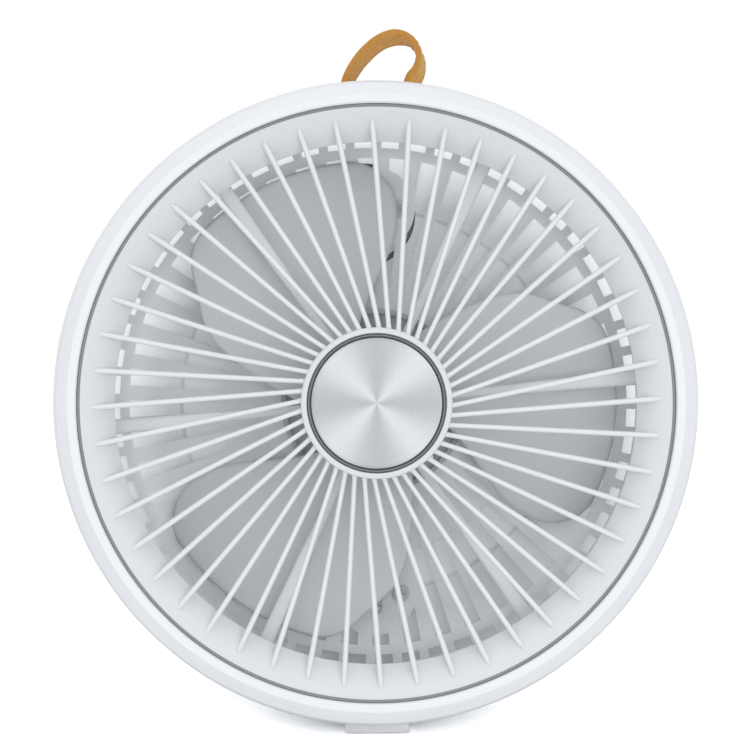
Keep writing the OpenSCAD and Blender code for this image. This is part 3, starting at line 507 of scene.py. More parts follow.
class Finishes:
    """Every finish of the fan, each built once."""
    ring_white = MouldedPlastic("ring_white", "white_shell", (241, 244, 249), 0.36)
    shell_white = MouldedPlastic("shell_white", "white_shell", (238, 240, 242), 0.42)
    # The rear shell's faces inside the head carry a painted glow that lifts their shade.
    rear_white = MouldedPlastic("rear_white", "white_shell", (238, 240, 243), 0.42, inside=0.125)
    # The pod's front face behind the slots carries a painted glow that lifts its shade.
    pod_white = MouldedPlastic("pod_white", "white_shell", (238, 240, 242), 0.42, inside=0.12,
                               inner_r=0.02, outer_r=0.0612, front_to=0.0585)
    grille_white = MouldedPlastic("grille_white", "grille_white", (230, 234, 237), 0.42)
    # The struts are the grille's plastic with a painted glow that lifts the shade they sit in.
    strut_white = MouldedPlastic("strut_white", "grille_white", (230, 234, 237), 0.42,
                                 inside=0.06, inner_r=0.045)
    # Painted highlight: the ribs are the grille's own plastic, painted lighter for the light their fronts catch.
    rib_white = MouldedPlastic("rib_white", "grille_white", (234, 237, 240), 0.38)
    # Painted shade: the hub ring is the grille's own plastic, painted darker for the shade at the hub.
    hub_white = MouldedPlastic("hub_white", "grille_white", (225, 228, 232), 0.4)
    accent = MouldedPlastic("accent_grey", "accent_grey", (140, 144, 148), 0.34)
    hub_trim = MouldedPlastic("hub_trim_grey", "accent_grey", (86, 89, 93), 0.3)
    blade = MouldedPlastic("blade_grey", "blade_grey", (219, 220, 224), 0.48, Relief.MATT)
    # The dish's front skin carries a painted glow that stands in for light through it, with painted shade toward
    # the bottom.
    dish_white = GlowPaintedPlastic("dish_white", "white_shell", (244, 245, 246))
    dark_mount = MouldedPlastic("dark_mount", "dark_mount", (188, 190, 194), 0.55, Relief.MATT)
    button = MouldedPlastic("button_grey", "button_grey", (150, 154, 158), 0.5, Relief.MATT)
    black_plastic = MouldedPlastic("black_plastic", "black_plastic", (38, 39, 41), 0.45,
                                   Relief.MATT)
    lead = MouldedPlastic("lead_jacket", "lead_jacket", (52, 52, 55), 0.5)
    cell_wrap = MouldedPlastic("cell_wrap", "cell_wrap", (70, 132, 178), 0.3)
    # The first colour is the painted highlight of the diagonal wedges, the second the metal between them.
    disc = SpunMetal("spun_aluminium", "spun_aluminium", (185, 187, 190), (147, 150, 153))
    steel = PlainMetal("steel", "steel", (196, 198, 202), 0.26)
    core_steel = PlainMetal("core_steel", "core_steel", (120, 124, 130), 0.42)
    magnet = PlainMetal("magnet", "magnet", (72, 74, 80), 0.5, 0.6)
    brass = PlainMetal("brass_rivet", "brass_rivet", (214, 178, 104), 0.24)
    zinc = PlainMetal("zinc_plate", "steel", (206, 208, 212), 0.5, 0.3)
    leather = SuedeLeather("tan_leather", "tan_leather", (244, 192, 94), (178, 120, 38),
                           (184, 126, 54))
    thread = Strand("tan_thread", "tan_leather", (218, 168, 92), Turns.TWISTED, 0.72, 0.7,
                    (0.00006, 0.6))
    copper = Strand("copper", "copper", (206, 122, 66), Turns.WOUND, 0.45, 0.3, (0.00012, 0.8),
                    0.85)
    rubber = Rubber("rubber_grey", "rubber_grey", (170, 172, 174))
    pale_rubber = Rubber("rubber_pale", "rubber_grey", (228, 231, 234))
    board = BoardLacquer("board_green", "board_green", (22, 92, 58), (52, 138, 92))
    light_pipe = LightPipe("light_pipe", "light_pipe", (226, 236, 240))

    def __init__(self) -> None:
        """Starts with no material built."""
        self._made: dict[str, bpy.types.Material] = {}

    def get(self, finish: Finish) -> bpy.types.Material:
        """The material of a finish, built at its first use."""
        if finish.name not in self._made:
            self._made[finish.name] = finish.material()
        return self._made[finish.name]


PAINTS = Finishes()


# ---------------------------------------------------------------- mesh tools

def filleted(points: list[tuple[float, float, float]], steps: int = 6) -> Profile:
    """Rounds the corners of a closed outline.

    Args:
        points: Corners in millimetres, each with its own radius.
        steps: Faces on each rounded corner.

    Returns:
        The rounded outline.
    """
    made: Profile = []
    for i, (x, y, radius) in enumerate(points):
        corner = Vector((x, y))
        before = Vector(points[i - 1][:2]) - corner
        after = Vector(points[(i + 1) % len(points)][:2]) - corner
        half = before.angle(after, 0.0) / 2
        if radius <= 0 or half > math.pi / 2 - 0.02:
            made.append((x, y))
            continue
        cut = min(radius / math.tan(half), before.length * 0.49, after.length * 0.49)
        radius = cut * math.tan(half)
        start, end = before.normalized() * cut, after.normalized() * cut
        centre = (before.normalized() + after.normalized()).normalized() * (radius / math.sin(half))
        first, last = start - centre, end - centre
        turn = first.angle_signed(last)
        for k in range(steps + 1):
            swung = first.copy()
            swung.rotate(Matrix.Rotation(-turn * k / steps, 2))
            made.append(tuple(corner + centre + swung))
    return made


def band(radii: tuple[float, float], depths: tuple[float, float], corners: tuple[float, ...],
         steps: int) -> Profile:
    """Outline of a flat ring, from its inner front corner on, each corner with its own radius."""
    (inner, outer), (front, rear) = radii, depths
    places = ((inner, front), (outer, front), (outer, rear), (inner, rear))
    return filleted([(*place, radius) for place, radius in zip(places, corners)], steps)


def rounded_block(width: float, depth: float, radius: float) -> Profile:
    """Outline of a rounded rectangle centred on zero."""
    w, d = width / 2, depth / 2
    return filleted([(-w, -d, radius), (w, -d, radius), (w, d, radius), (-w, d, radius)], 3)


def scene_object(name: str, data: bpy.types.ID) -> bpy.types.Object:
    """Puts a mesh, lamp or camera in the scene as an object at the origin."""
    made = bpy.data.objects.new(name, data)
    bpy.context.scene.collection.objects.link(made)
    return made


@contextmanager
def editing(mesh: bpy.types.Mesh) -> Iterator[bmesh.types.BMesh]:
    """Opens a mesh for editing and writes the result back to it."""
    work = bmesh.new()
    work.from_mesh(mesh)
    yield work
    work.to_mesh(mesh)
    work.free()


def smooth(mesh: bpy.types.Mesh, sharp: float) -> None:
    """Shades a mesh smooth apart from edges sharper than an angle in degrees."""
    mesh.polygons.foreach_set("use_smooth", [True] * len(mesh.polygons))
    mesh.set_sharp_from_angle(angle=math.radians(sharp))
    mesh.update()


def closed_mesh(name: str, vertices: list, faces: list, sharp: float = 40) -> bpy.types.Mesh:
    """Makes a clean smooth mesh in the fan's millimetres.

    Args:
        name: The mesh's name.
        vertices: Points.
        faces: Faces as lists of point numbers.
        sharp: Angle in degrees past which an edge stays sharp.

    Returns:
        The mesh.
    """
    mesh = bpy.data.meshes.new(name)
    mesh.from_pydata(vertices, [], faces)
    with editing(mesh) as work:
        bmesh.ops.remove_doubles(work, verts=work.verts, dist=1e-4)
        bmesh.ops.recalc_face_normals(work, faces=work.faces)
    smooth(mesh, sharp)
    return mesh


def lathe(name: str, outline: Profile, steps: int = 256) -> bpy.types.Mesh:
    """Turns a closed outline of (radius, depth) round the fan's axis."""
    vertices, faces = [], []
    count, pole = len(outline), 1e-6
    for k in range(steps):
        angle = math.tau * k / steps
        c, s = math.cos(angle), math.sin(angle)
        vertices += [(r * c, r * s, z) for r, z in outline]
        a, b = k * count, (k + 1) % steps * count
        for i in range(count):
            j = (i + 1) % count
            if outline[i][0] >= pole or outline[j][0] >= pole:
                faces.append([a + i, a + j, b + j, b + i])
    mesh = closed_mesh(name, vertices, faces)
    with editing(mesh) as work:
        bmesh.ops.dissolve_degenerate(work, dist=1e-6, edges=work.edges)
    smooth(mesh, 40)
    return mesh


def disc_at(name: str, x: float, y: float, outline: Profile, steps: int) -> bpy.types.Mesh:
    """A small turned form whose axis is parallel to the fan's and passes through (x, y)."""
    mesh = lathe(name, outline, steps)
    mesh.transform(Matrix.Translation((x, y, 0)))
    return mesh


def tube_faces(sections: int, count: int) -> list[list[int]]:
    """Faces of a tube with flat ends through sections of count points each."""
    last = (sections - 1) * count
    faces = [[a + i, a + (i + 1) % count, a + count + (i + 1) % count, a + count + i]
             for a in range(0, last, count) for i in range(count)]
    return faces + [list(range(count)), list(range(last, last + count))]


def loft(name: str, sections: list[list[Vector]], sharp: float) -> bpy.types.Mesh:
    """Skins closed sections of equal length and caps both ends."""
    vertices = [tuple(p) for section in sections for p in section]
    return closed_mesh(name, vertices, tube_faces(len(sections), len(sections[0])), sharp)


class Piece:
    """Ends a piece: places it in the shared frame, dresses it and lets it ride.

    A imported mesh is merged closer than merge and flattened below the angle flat; its edges are
    rounded past edge_from, and shaded smooth up to smooth_to degrees.
    """
    merge = 2e-6
    flat = math.radians(0.6)
    edge_from = math.radians(28)
    smooth_to = 34

    @staticmethod
    def add(name: str, mesh: bpy.types.Mesh, finish: Finish, body: str = "head",
            stands_for: str = "", placed: bool = False) -> None:
        """Adds a finished piece.

        Args:
            name: Name of the piece.
            mesh: Its mesh, in the fan's millimetres unless it is placed.
            finish: Its finish.
            body: The body that it moves with.
            stands_for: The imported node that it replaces, if any.
            placed: Whether the mesh is in the shared frame's metres.
        """
        if not placed:
            mesh.transform(PLACE.matrix)
            mesh.update()
        mesh.materials.clear()
        mesh.materials.append(PAINTS.get(finish))
        made = scene_object(name, mesh)
        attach(made, body)
        if stands_for:
            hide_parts(stands_for)
        log.info("piece %s on %s: %d faces", name, body, len(mesh.polygons))

    @staticmethod
    def turned(name: str, outline: Profile, steps: int, finish: Finish, stands_for: str = "",
               body: str = "head") -> None:
        """Adds a piece that is turned round the fan's axis."""
        Piece.add(name, lathe(name, outline, steps), finish, body, stands_for)

    @staticmethod
    def softened(finish: Finish, width: float, *nodes: str) -> None:
        """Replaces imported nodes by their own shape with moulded, rounded edges.

        Args:
            finish: Their finish.
            width: Width of the rounded edges in millimetres.
            nodes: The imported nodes.
        """
        for node in nodes:
            mesh = frame["nodes"][node].data.copy()
            with editing(mesh) as work:
                bmesh.ops.remove_doubles(work, verts=work.verts, dist=Piece.merge)
                bmesh.ops.dissolve_limit(work, angle_limit=Piece.flat, verts=work.verts,
                                         edges=work.edges)
                edges = [e for e in work.edges
                         if e.is_manifold and e.calc_face_angle(0) > Piece.edge_from]
                bmesh.ops.bevel(work, geom=edges, offset=width * MM, offset_type="OFFSET",
                                segments=2, profile=0.5, affect="EDGES", clamp_overlap=True)
                bmesh.ops.triangulate(work, faces=[f for f in work.faces if len(f.verts) > 4])
            for name in ("custom_normal", "sharp_edge"):
                if name in mesh.attributes:
                    mesh.attributes.remove(mesh.attributes[name])
            smooth(mesh, Piece.smooth_to)
            Piece.add(f"{node}_finished", mesh, finish, BODY_OF[node], node, placed=True)

    @staticmethod
    def dressed(finish: Finish, *nodes: str) -> None:
        """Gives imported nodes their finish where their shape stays."""
        for node in nodes:
            made = frame["nodes"][node]
            made.data.materials.clear()
            made.data.materials.append(PAINTS.get(finish))
            log.info("node %s dressed in %s", node, finish.name)


# ---------------------------------------------------------------- what repeats

class GeometryTree(Graph):
    """A Geometry Nodes tree with named inputs, applied once and turned to a plain mesh."""

    def __init__(self, name: str) -> None:
        """Starts an empty tree with a geometry input and output."""
        super().__init__(bpy.data.node_groups.new(name, "GeometryNodeTree"))
        self.tree.is_modifier = True
        for side in ("INPUT", "OUTPUT"):
            self.tree.interface.new_socket("Geometry", in_out=side,
                                           socket_type="NodeSocketGeometry")
        self.names: dict[str, str] = {}

    def inputs(self, **kinds: str) -> dict[str, Wire]:
        for name, kind in kinds.items():
            label = name.replace("_", " ").capitalize()
            socket = self.tree.interface.new_socket(label, in_out="INPUT",
                                                    socket_type=f"NodeSocket{kind}")
            self.names[name] = socket.identifier
        source = self.tree.nodes.new("NodeGroupInput")
        return {name: Wire(self.tree, next(s for s in source.outputs if s.identifier == key))
                for name, key in self.names.items()}

    def shape_of(self, given: Wire) -> bpy.types.NodeSocket:
        """The geometry of an object that is one of the inputs."""
        info = self.node("GeometryNodeObjectInfo", {"transform_space": "ORIGINAL"},
                         {"Object": given})
        return info.outputs["Geometry"]

    def end(self, instances: Wire, material: Wire) -> None:
        """Realizes the instances, sets their material and joins the output."""
        real = self.wire("GeometryNodeRealizeInstances", None, {"Geometry": instances})
        dressed = self.wire("GeometryNodeSetMaterial", None,
                            {"Geometry": real, "Material": material})
        self.node("NodeGroupOutput", None, {"Geometry": dressed})

    def run(self, name: str, sharp: float, **values: object) -> bpy.types.Mesh:
        """Evaluates the tree with these values.

        Args:
            name: Name of the mesh.
            sharp: Angle in degrees past which an edge stays sharp.
            values: The named inputs.

        Returns:
            A plain mesh.
        """
        holder = scene_object(f"{name}_maker", bpy.data.meshes.new(f"{name}_maker"))
        modifier = holder.modifiers.new("maker", "NODES")
        modifier.node_group = self.tree
        for key, value in values.items():
            modifier[self.names[key]] = value
        bpy.context.view_layer.update()
        graph = bpy.context.evaluated_depsgraph_get()
        mesh = bpy.data.meshes.new_from_object(holder.evaluated_get(graph), depsgraph=graph,
                                               preserve_all_data_layers=True)
        mesh.name = name
        holder.modifiers.remove(modifier)
        bpy.data.objects.remove(holder)
        smooth(mesh, sharp)
        return mesh


class RoundArray(GeometryTree):
    """Repeats one form round the fan's axis."""

    def __init__(self) -> None:
        """Builds the tree."""
        super().__init__("Round array")
        given = self.inputs(form="Object", count="Int", first_angle="Float", step_angle="Float",
                            finish="Material")
        points = self.wire("GeometryNodePoints", None, {"Count": given["count"]})
        index = self.wire("GeometryNodeInputIndex")
        angle = index * given["step_angle"] + given["first_angle"]
        turn = self.wire("ShaderNodeCombineXYZ", None, {"Z": angle})
        copies = self.wire("GeometryNodeInstanceOnPoints", None,
                           {"Points": points, "Instance": self.shape_of(given["form"]),
                            "Rotation": turn})
        self.end(copies, given["finish"])

    def add(self, name: str, form: bpy.types.Mesh, count: int, first: float, finish: Finish,
            body: str = "head", sharp: float = 60) -> None:
        """Repeats a form and adds the copies as one piece.

        Args:
            name: Name of the piece.
            form: The form, drawn at the top.
            count: Number of copies, which share a full turn.
            first: Clockwise angle of the first, in degrees.
            finish: Its finish.
            body: The body that it moves with.
            sharp: Angle in degrees past which an edge stays sharp.
        """
        holder = scene_object(f"{name}_form", form)
        mesh = self.run(name, sharp, form=holder, count=count, first_angle=math.radians(first),
                        step_angle=math.radians(360 / count), finish=PAINTS.get(finish))
        bpy.data.objects.remove(holder)
        Piece.add(name, mesh, finish, body)


class StitchRow(GeometryTree):
    """Sews stitches along a path."""

    def __init__(self) -> None:
        """Builds the tree."""
        super().__init__("Stitch row")
        given = self.inputs(path="Object", pitch="Float", stitch_length="Float",
                            thread_radius="Float", finish="Material")
        curve = self.wire("GeometryNodeMeshToCurve", None, {"Mesh": self.shape_of(given["path"])})
        sewn = self.wire("GeometryNodeResampleCurve", {"mode": "LENGTH"},
                         {"Curve": curve, "Length": given["pitch"]})
        tangent = self.wire("GeometryNodeInputTangent")
        turn = self.wire("FunctionNodeAlignRotationToVector", {"axis": "Z"}, {"Vector": tangent},
                         out="Rotation")
        bead = self.wire("GeometryNodeMeshUVSphere", None,
                         {"Segments": 8, "Rings": 6, "Radius": 1.0})
        size = self.wire("ShaderNodeCombineXYZ", None,
                         {"X": given["thread_radius"], "Y": given["thread_radius"],
                          "Z": given["stitch_length"] * 0.5})
        stitches = self.wire("GeometryNodeInstanceOnPoints", None,
                             {"Points": sewn, "Instance": bead, "Rotation": turn, "Scale": size})
        self.end(stitches, given["finish"])


ARRAY = RoundArray()
SEAM = StitchRow()


# ---------------------------------------------------------------- front of the head

@dataclass
class FrontHead:
    """The white ring, the accent ring, the bell mouth with its ribs and struts, and the hub."""
    ring_r: float = 100.0
    ring_wall: float = 2.2
    bevel_r: float = 99.0
    bevel_depth: float = 3.7
    side_depth: float = 8.2
    face_r: float = 95.2
    face_depth: float = 0.2
    groove_r: float = 92.45
    seat_depth: float = 5.6
    rim_depth: float = 25.4
    accent_r: tuple[float, float] = (91.5, 92.4)
    accent_depth: float = 2.15
    lip_r: float = 91.45
    throat_r: float = 81.0
    lip_depth: float = 2.6
    mouth_depth: float = 9.6
    mouth_power: float = 1.2
    flange_r: float = 97.5
    flange_rear: float = 7.6
    duct_out: float = 3.0
    throat_end: float = 29.6
    bell_wall: float = 1.8
    rib_count: int = 48
    rib_width: float = 1.75
    rib_depth: float = 3.5
    rib_front: float = 3.9
    rib_offset: float = 5.6
    rib_tip: float = 88.3
    rib_point: float = 3.2
    rib_corner: float = 0.62
    rib_slim: tuple[float, float] = (0.85, 0.97)
    rib_slim_from: float = 24.0
    rib_slim_run: float = 40.0
    rib_root: float = 2.2
    rib_turn: float = -0.7
    strut_count: int = 6
    strut_angle: float = 24.8
    strut_width: tuple[float, float] = (2.6, 4.8)
    strut_middle: float = 27.2
    strut_thickness: float = 3.6
    pillar_count: int = 6
    pillar_at: float = 92.2
    pillar_r: tuple[float, float] = (1.2, 2.8)
    pillar_span: tuple[float, float] = (7.4, 23.4)
    hub_r: float = 23.4
    hub_wall: float = 1.8
    hub_front: float = 1.9
    hub_rear: float = 29.0
    hub_bore: float = 1.0
    plate: tuple[float, float] = (4.4, 6.4)
    trim_r: tuple[float, float] = (20.48, 21.55)
    bead_r: tuple[float, float] = (20.78, 21.18)
    bead_span: tuple[float, float] = (2.12, 2.5)
    disc_r: float = 20.42
    disc_depth: float = 2.4

    def bell(self, steps: int = 16) -> Profile:
        """The bell mouth's inner wall, lip first: nearly a cone, steeper toward its inner edge."""
        flare, depth = self.lip_r - self.throat_r, self.mouth_depth - self.lip_depth
        return [(self.lip_r - flare * i / steps,
                 self.lip_depth + depth * (i / steps) ** self.mouth_power)
                for i in range(steps + 1)]

    def wall_at(self, depth: float) -> float:
        """Radius of the bell mouth's wall at a depth."""
        share = (depth - self.lip_depth) / (self.mouth_depth - self.lip_depth)
        return self.lip_r - (self.lip_r - self.throat_r) * share ** (1 / self.mouth_power)

    def ring(self) -> None:
        """The white outer ring with its soft bevel."""
        inner = self.ring_r - self.ring_wall
        outline = filleted([
            (self.groove_r, 0.8, 0.2), (self.groove_r + 0.4, self.face_depth, 0.3),
            (self.face_r, self.face_depth, 0.15), (self.bevel_r, self.bevel_depth, 2.6),
            (self.ring_r, self.side_depth, 4.0), (self.ring_r, self.rim_depth, 0.35),
            (inner, self.rim_depth, 0.2), (inner, self.seat_depth, 0.3),
            (self.groove_r, self.seat_depth, 0.1)], 7)
        Piece.turned("outer_ring", outline, 320, PAINTS.ring_white, "front_rim")

    def accent(self) -> None:
        """The thin grey ring between the outer ring and the bell mouth."""
        outline = band(self.accent_r, (self.accent_depth, self.seat_depth), (0.25, 0.25, 0, 0), 4)
        Piece.turned("accent_band", outline, 320, PAINTS.accent, "accent_ring")

    def bell_mouth(self) -> None:
        """The bell mouth, its flange and the duct that widens behind its inner edge."""
        inner, wall, rear = self.bell(), self.bell_wall, self.throat_r + self.duct_out
        edge = filleted([
            (*inner[-2], 0), (self.throat_r, self.mouth_depth, 0.3), (rear, self.throat_end, 0.4),
            (rear + wall, self.throat_end, 0.4),
            (self.throat_r + wall + 0.2, self.mouth_depth + wall, 0.6), (85.5, 8.3, 0.4),
            (87.2, self.flange_rear, 0.3), (self.flange_r, self.flange_rear, 0),
            (self.flange_r, self.seat_depth, 0), (self.lip_r, self.seat_depth, 0)], 4)
        Piece.turned("bell_mouth", inner[:-2] + edge, 320, PAINTS.grille_white, "front_grille")

    def rib_reach(self, radius: float) -> float:
        """Distance along a rib at which it meets a circle round the axis."""
        return math.sqrt(radius ** 2 - self.rib_offset ** 2)

    def rib(self) -> bpy.types.Mesh:
        """One rib, whose end runs out to a rounded point in the wall of the bell mouth."""
        half, low, high = self.rib_width / 2, self.rib_front, self.rib_front + self.rib_depth
        hub, tip = self.rib_reach(self.hub_r - self.hub_wall * 0.6), self.rib_reach(self.rib_tip)
        base = self.rib_reach(self.wall_at(high) + 0.9)
        neck, start = tip - self.rib_point, hub + 3
        stations = [hub, hub + 1.2, start] + [start + (neck - start) * i / 6 for i in range(1, 7)]
        stations += [neck + self.rib_point * math.sin(math.pi / 2 * i / 9) for i in range(1, 10)]
        thin, full = self.rib_slim
        section = rounded_block(2, 2, self.rib_corner)
        sections = []
        # The point rounds off in width and height, the root flares into the hub ring, and the
        # rear edge rises where the rib enters the wall.
        for s in stations:
            run = max(0.0, (s - neck) / self.rib_point)
            point = math.sqrt(max(0.0, 1 - run ** 2.6)) * 0.9 + 0.1
            out = min(1.0, max(0.0, (s - self.rib_slim_from) / self.rib_slim_run))
            root = 1 + 0.5 * max(0.0, 1 - (s - hub) / self.rib_root) ** 2
            wide = half * point * (thin + (full - thin) * out) * root
            front = low + (1 - math.sqrt(max(0.0, 1 - run ** 4))) * 0.35
            rear = high if s < base else high - (s - base) * 0.4
            mid, deep = (front + rear) / 2, (rear - front) / 2
            sections.append([Vector((self.rib_offset + x * wide, -s, mid + y * deep))
                             for x, y in section])
        mesh = loft("rib", sections, 60)
        angle = math.degrees(math.asin(self.rib_offset / self.rib_tip))
        mesh.transform(Matrix.Rotation(math.radians(self.rib_turn - angle), 4, "Z"))
        return mesh

    def strut(self, steps: int = 6) -> bpy.types.Mesh:
        """One strut behind the ribs, which widens outward."""
        start, end = self.hub_r - self.hub_wall / 2, self.throat_r + self.duct_out + 0.5
        (narrow, wide), deep = self.strut_width, self.strut_thickness / 2
        sections = []
        for i in range(steps + 1):
            s, half = start + (end - start) * i / steps, (narrow + (wide - narrow) * i / steps) / 2
            sections.append([Vector((x * half, -s, self.strut_middle + y * deep))
                             for x, y in rounded_block(2, 2, 0.5)])
        return loft("strut", sections, 60)

    def bars(self) -> None:
        """The front ribs, the struts and the pillars that take the shell's screws."""
        ARRAY.add("front_ribs", self.rib(), self.rib_count, 0, PAINTS.rib_white)
        ARRAY.add("rear_struts", self.strut(), self.strut_count, self.strut_angle,
                  PAINTS.strut_white)
        outline = band(self.pillar_r, self.pillar_span, (0, 0, 0.3, 0.2), 3)
        ARRAY.add("screw_pillars", disc_at("screw_pillar", 0, -self.pillar_at, outline, 40),
                  self.pillar_count, 30, PAINTS.grille_white, sharp=40)

    def hub(self) -> None:
        """The hub ring, its back plate, the dark trim with its bead and the turned disc."""
        inner, bore, (front, rear) = self.hub_r - self.hub_wall, self.hub_bore, self.plate
        outline = filleted([
            (inner, self.hub_front, 0.35), (self.hub_r, self.hub_front, 0.6),
            (self.hub_r, self.hub_rear, 0.4), (inner, self.hub_rear, 0.2), (inner, rear, 0.1),
            (bore, rear, 0.1), (bore, front, 0), (inner, front, 0)], 5)
        Piece.turned("hub_ring", outline, 160, PAINTS.hub_white)
        low, high = self.trim_r
        third = (high - low) / 3
        ridges = ((0, 2.35, 0.1), (0.9, 2.2, 0.12), (1, 2.55, 0.08), (1.5, 2.3, 0.15),
                  (2, 2.6, 0.08), (2.1, 2.25, 0.12), (3, 2.3, 0.12), (3, front, 0), (0, front, 0))
        outline = filleted([(low + third * x, depth, radius) for x, depth, radius in ridges], 3)
        Piece.turned("hub_trim", outline, 200, PAINTS.hub_trim, "badge_ring")
        (low, high), (top, foot) = self.bead_r, self.bead_span
        outline = filleted([(low, foot, 0), (low + 0.06, top, 0.1), (high - 0.06, top, 0.1),
                            (high, foot, 0)], 3)
        Piece.turned("hub_bead", outline, 200, PAINTS.accent)
        disc, depth = self.disc_r, self.disc_depth
        outline = filleted([(0, depth, 0), (disc - 0.2, depth + 0.1, 0.25),
                            (disc, depth + 0.55, 0.1), (disc, front, 0), (0, front, 0)], 3)
        crown = [(disc * i / 14, depth + 0.1 * (i / 14) ** 2) for i in range(14)]
        Piece.turned("hub_disc", crown + outline[1:], 200, PAINTS.disc, "hub_badge")

    def build(self) -> None:
        """Builds the front of the head."""
        for make in (self.ring, self.accent, self.bell_mouth, self.bars, self.hub):
            make()


# ---------------------------------------------------------------- impeller

@dataclass
class Impeller:
    """Three cambered blades on a cup, whose edges are tables of radius and angle in degrees."""
    blade_count: int = 3
    rows: int = 40
    columns: int = 44
    tip_r: float = 77.3
    tip_round: float = 1.2
    edge_round: float = 1.3
    root_r: float = 21.4
    bore_r: float = 1.6
    cup_r: float = 22.2
    cup_wall: float = 1.6
    front: float = 31.2
    rear: float = 44.4
    margin: float = 0.9
    middle: float = 92.0
    pitch: float = 9.0
    thickness: float = 1.8
    tip_thickness: float = 0.72
    camber: float = 2.0
    root_camber: float = 0.35
    leading: tuple[tuple[float, float], ...] = (
        (21.4, 106), (34, 118), (45, 125), (55, 127.5), (66, 126), (72, 122.6), (76, 118.5),
        (77.5, 114.5))
    trailing: tuple[tuple[float, float], ...] = (
        (21.4, 28), (31, 37), (41.7, 44), (57.5, 53), (66.5, 62), (73, 67.2), (76.2, 71.5),
        (77.5, 76))

    @staticmethod
    def along(table: tuple[tuple[float, float], ...], at: float) -> float:
        """Value of a table at a radius, on a smooth curve through its points."""
        last = len(table) - 1
        i = next((k for k in range(last) if at <= table[k + 1][0]), last - 1)
        (r0, a0), (r1, a1) = table[i], table[i + 1]
        slope = [(table[min(k + 1, last)][1] - table[max(k - 1, 0)][1])
                 / (table[min(k + 1, last)][0] - table[max(k - 1, 0)][0]) for k in (i, i + 1)]
        span = r1 - r0
        t = max(0.0, min(1.0, (at - r0) / span))
        return ((2 * t ** 3 - 3 * t ** 2 + 1) * a0 + (t ** 3 - 2 * t ** 2 + t) * span * slope[0]
                + (3 * t ** 2 - 2 * t ** 3) * a1 + (t ** 3 - t ** 2) * span * slope[1])

    @staticmethod
    def rounding(past: float, reach: float) -> float:
        """Share of the full thickness at a distance into the rounding of an edge."""
        return math.sqrt(max(0.0, 1 - max(0.0, past / reach) ** 2))

    def skin_point(self, side: int, i: int, j: int) -> tuple[float, float, float]:
        """A point on one face of the blade.

        Args:
            side: -1 for the front face, 1 for the rear face.
            i: Row, from the root to the tip.
            j: Column, from the trailing to the leading edge.

        Returns:
            The point in the fan's millimetres.
        """
        out = math.sin(math.pi / 2 * i / self.rows)
        radius = self.root_r + (self.tip_r - self.root_r) * out
        lead, trail = self.along(self.leading, radius), self.along(self.trailing, radius)
        c = (1 - math.cos(math.pi * j / self.columns)) / 2
        angle = math.radians(trail + (lead - trail) * c)
        across = radius * math.sin(angle - math.radians(self.middle))
        depth = (self.front + self.rear) / 2 + across * math.tan(math.radians(self.pitch))
        depth -= self.camber * 4 * c * (1 - c) * (self.root_camber + (1 - self.root_camber) * out)
        depth = max(self.front + self.margin, min(self.rear - self.margin, depth))
        edge = min(c, 1 - c) * radius * math.radians(lead - trail)
        slim = self.rounding(self.edge_round - edge, self.edge_round)
        slim *= self.rounding(radius - self.tip_r + self.tip_round, self.tip_round)
        half = self.thickness / 2 * (1 - (1 - self.tip_thickness) * out) * slim
        return radius * math.sin(angle), -radius * math.cos(angle), depth + side * half

    def blade(self) -> bpy.types.Mesh:
        """One blade as a closed skin, thin at its rounded edges."""
        vertices = [self.skin_point(side, i, j) for side in (-1, 1)
                    for i in range(self.rows + 1) for j in range(self.columns + 1)]
        wide = self.columns + 1
        size = wide * (self.rows + 1)
        corners = [base + i * wide + j for base in (0, size)
                   for i in range(self.rows) for j in range(self.columns)]
        faces = [[a, a + 1, a + wide + 1, a + wide] for a in corners]
        faces += [[j, j + 1, size + j + 1, size + j] for j in range(self.columns)]
        return closed_mesh("blade", vertices, faces, 60)

    def build(self) -> None:
        """Builds the impeller."""
        ARRAY.add("blades", self.blade(), self.blade_count, 0, PAINTS.blade, "impeller")
        inner, floor = self.cup_r - self.cup_wall, self.front + self.cup_wall
        outline = filleted([
            (self.bore_r, self.front, 0), (self.cup_r, self.front, 1.4),
            (self.cup_r, self.rear, 0.4), (inner, self.rear, 0.2), (inner, floor, 0.6),
            (self.bore_r, floor, 0)])
        Piece.turned("impeller_cup", outline, 128, PAINTS.blade, "impeller", "impeller")


class Motor:
    """The motor behind the impeller's cup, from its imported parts."""

    def build(self) -> None:
        """Dresses the motor."""
        Piece.dressed(PAINTS.steel, "motor_shaft", "bearing_front", "bearing_rear", "impeller_nut")
        Piece.dressed(PAINTS.core_steel, "rotor_can", "stator_core")
        Piece.dressed(PAINTS.magnet, "magnet_ring")
        Piece.dressed(PAINTS.copper, "stator_coils")
        Piece.dressed(PAINTS.black_plastic, "shaft_clip")
        Piece.dressed(PAINTS.board, "driver_board")


@dataclass
class RearHead:
    """The rear shell with its slots, the motor's mount and the screws."""
    shell_edge: float = 0.35
    mount_edge: float = 0.2
    screw_edge: float = 0.12

    def build(self) -> None:
        """Builds the rear of the head."""
        Piece.softened(PAINTS.rear_white, self.shell_edge, "rear_shell")
        Piece.softened(PAINTS.steel, self.screw_edge, "shell_screws")
        Piece.softened(PAINTS.dark_mount, self.mount_edge, "motor_mount")
        Piece.softened(PAINTS.steel, self.screw_edge, "motor_screws")


# ---------------------------------------------------------------- strap

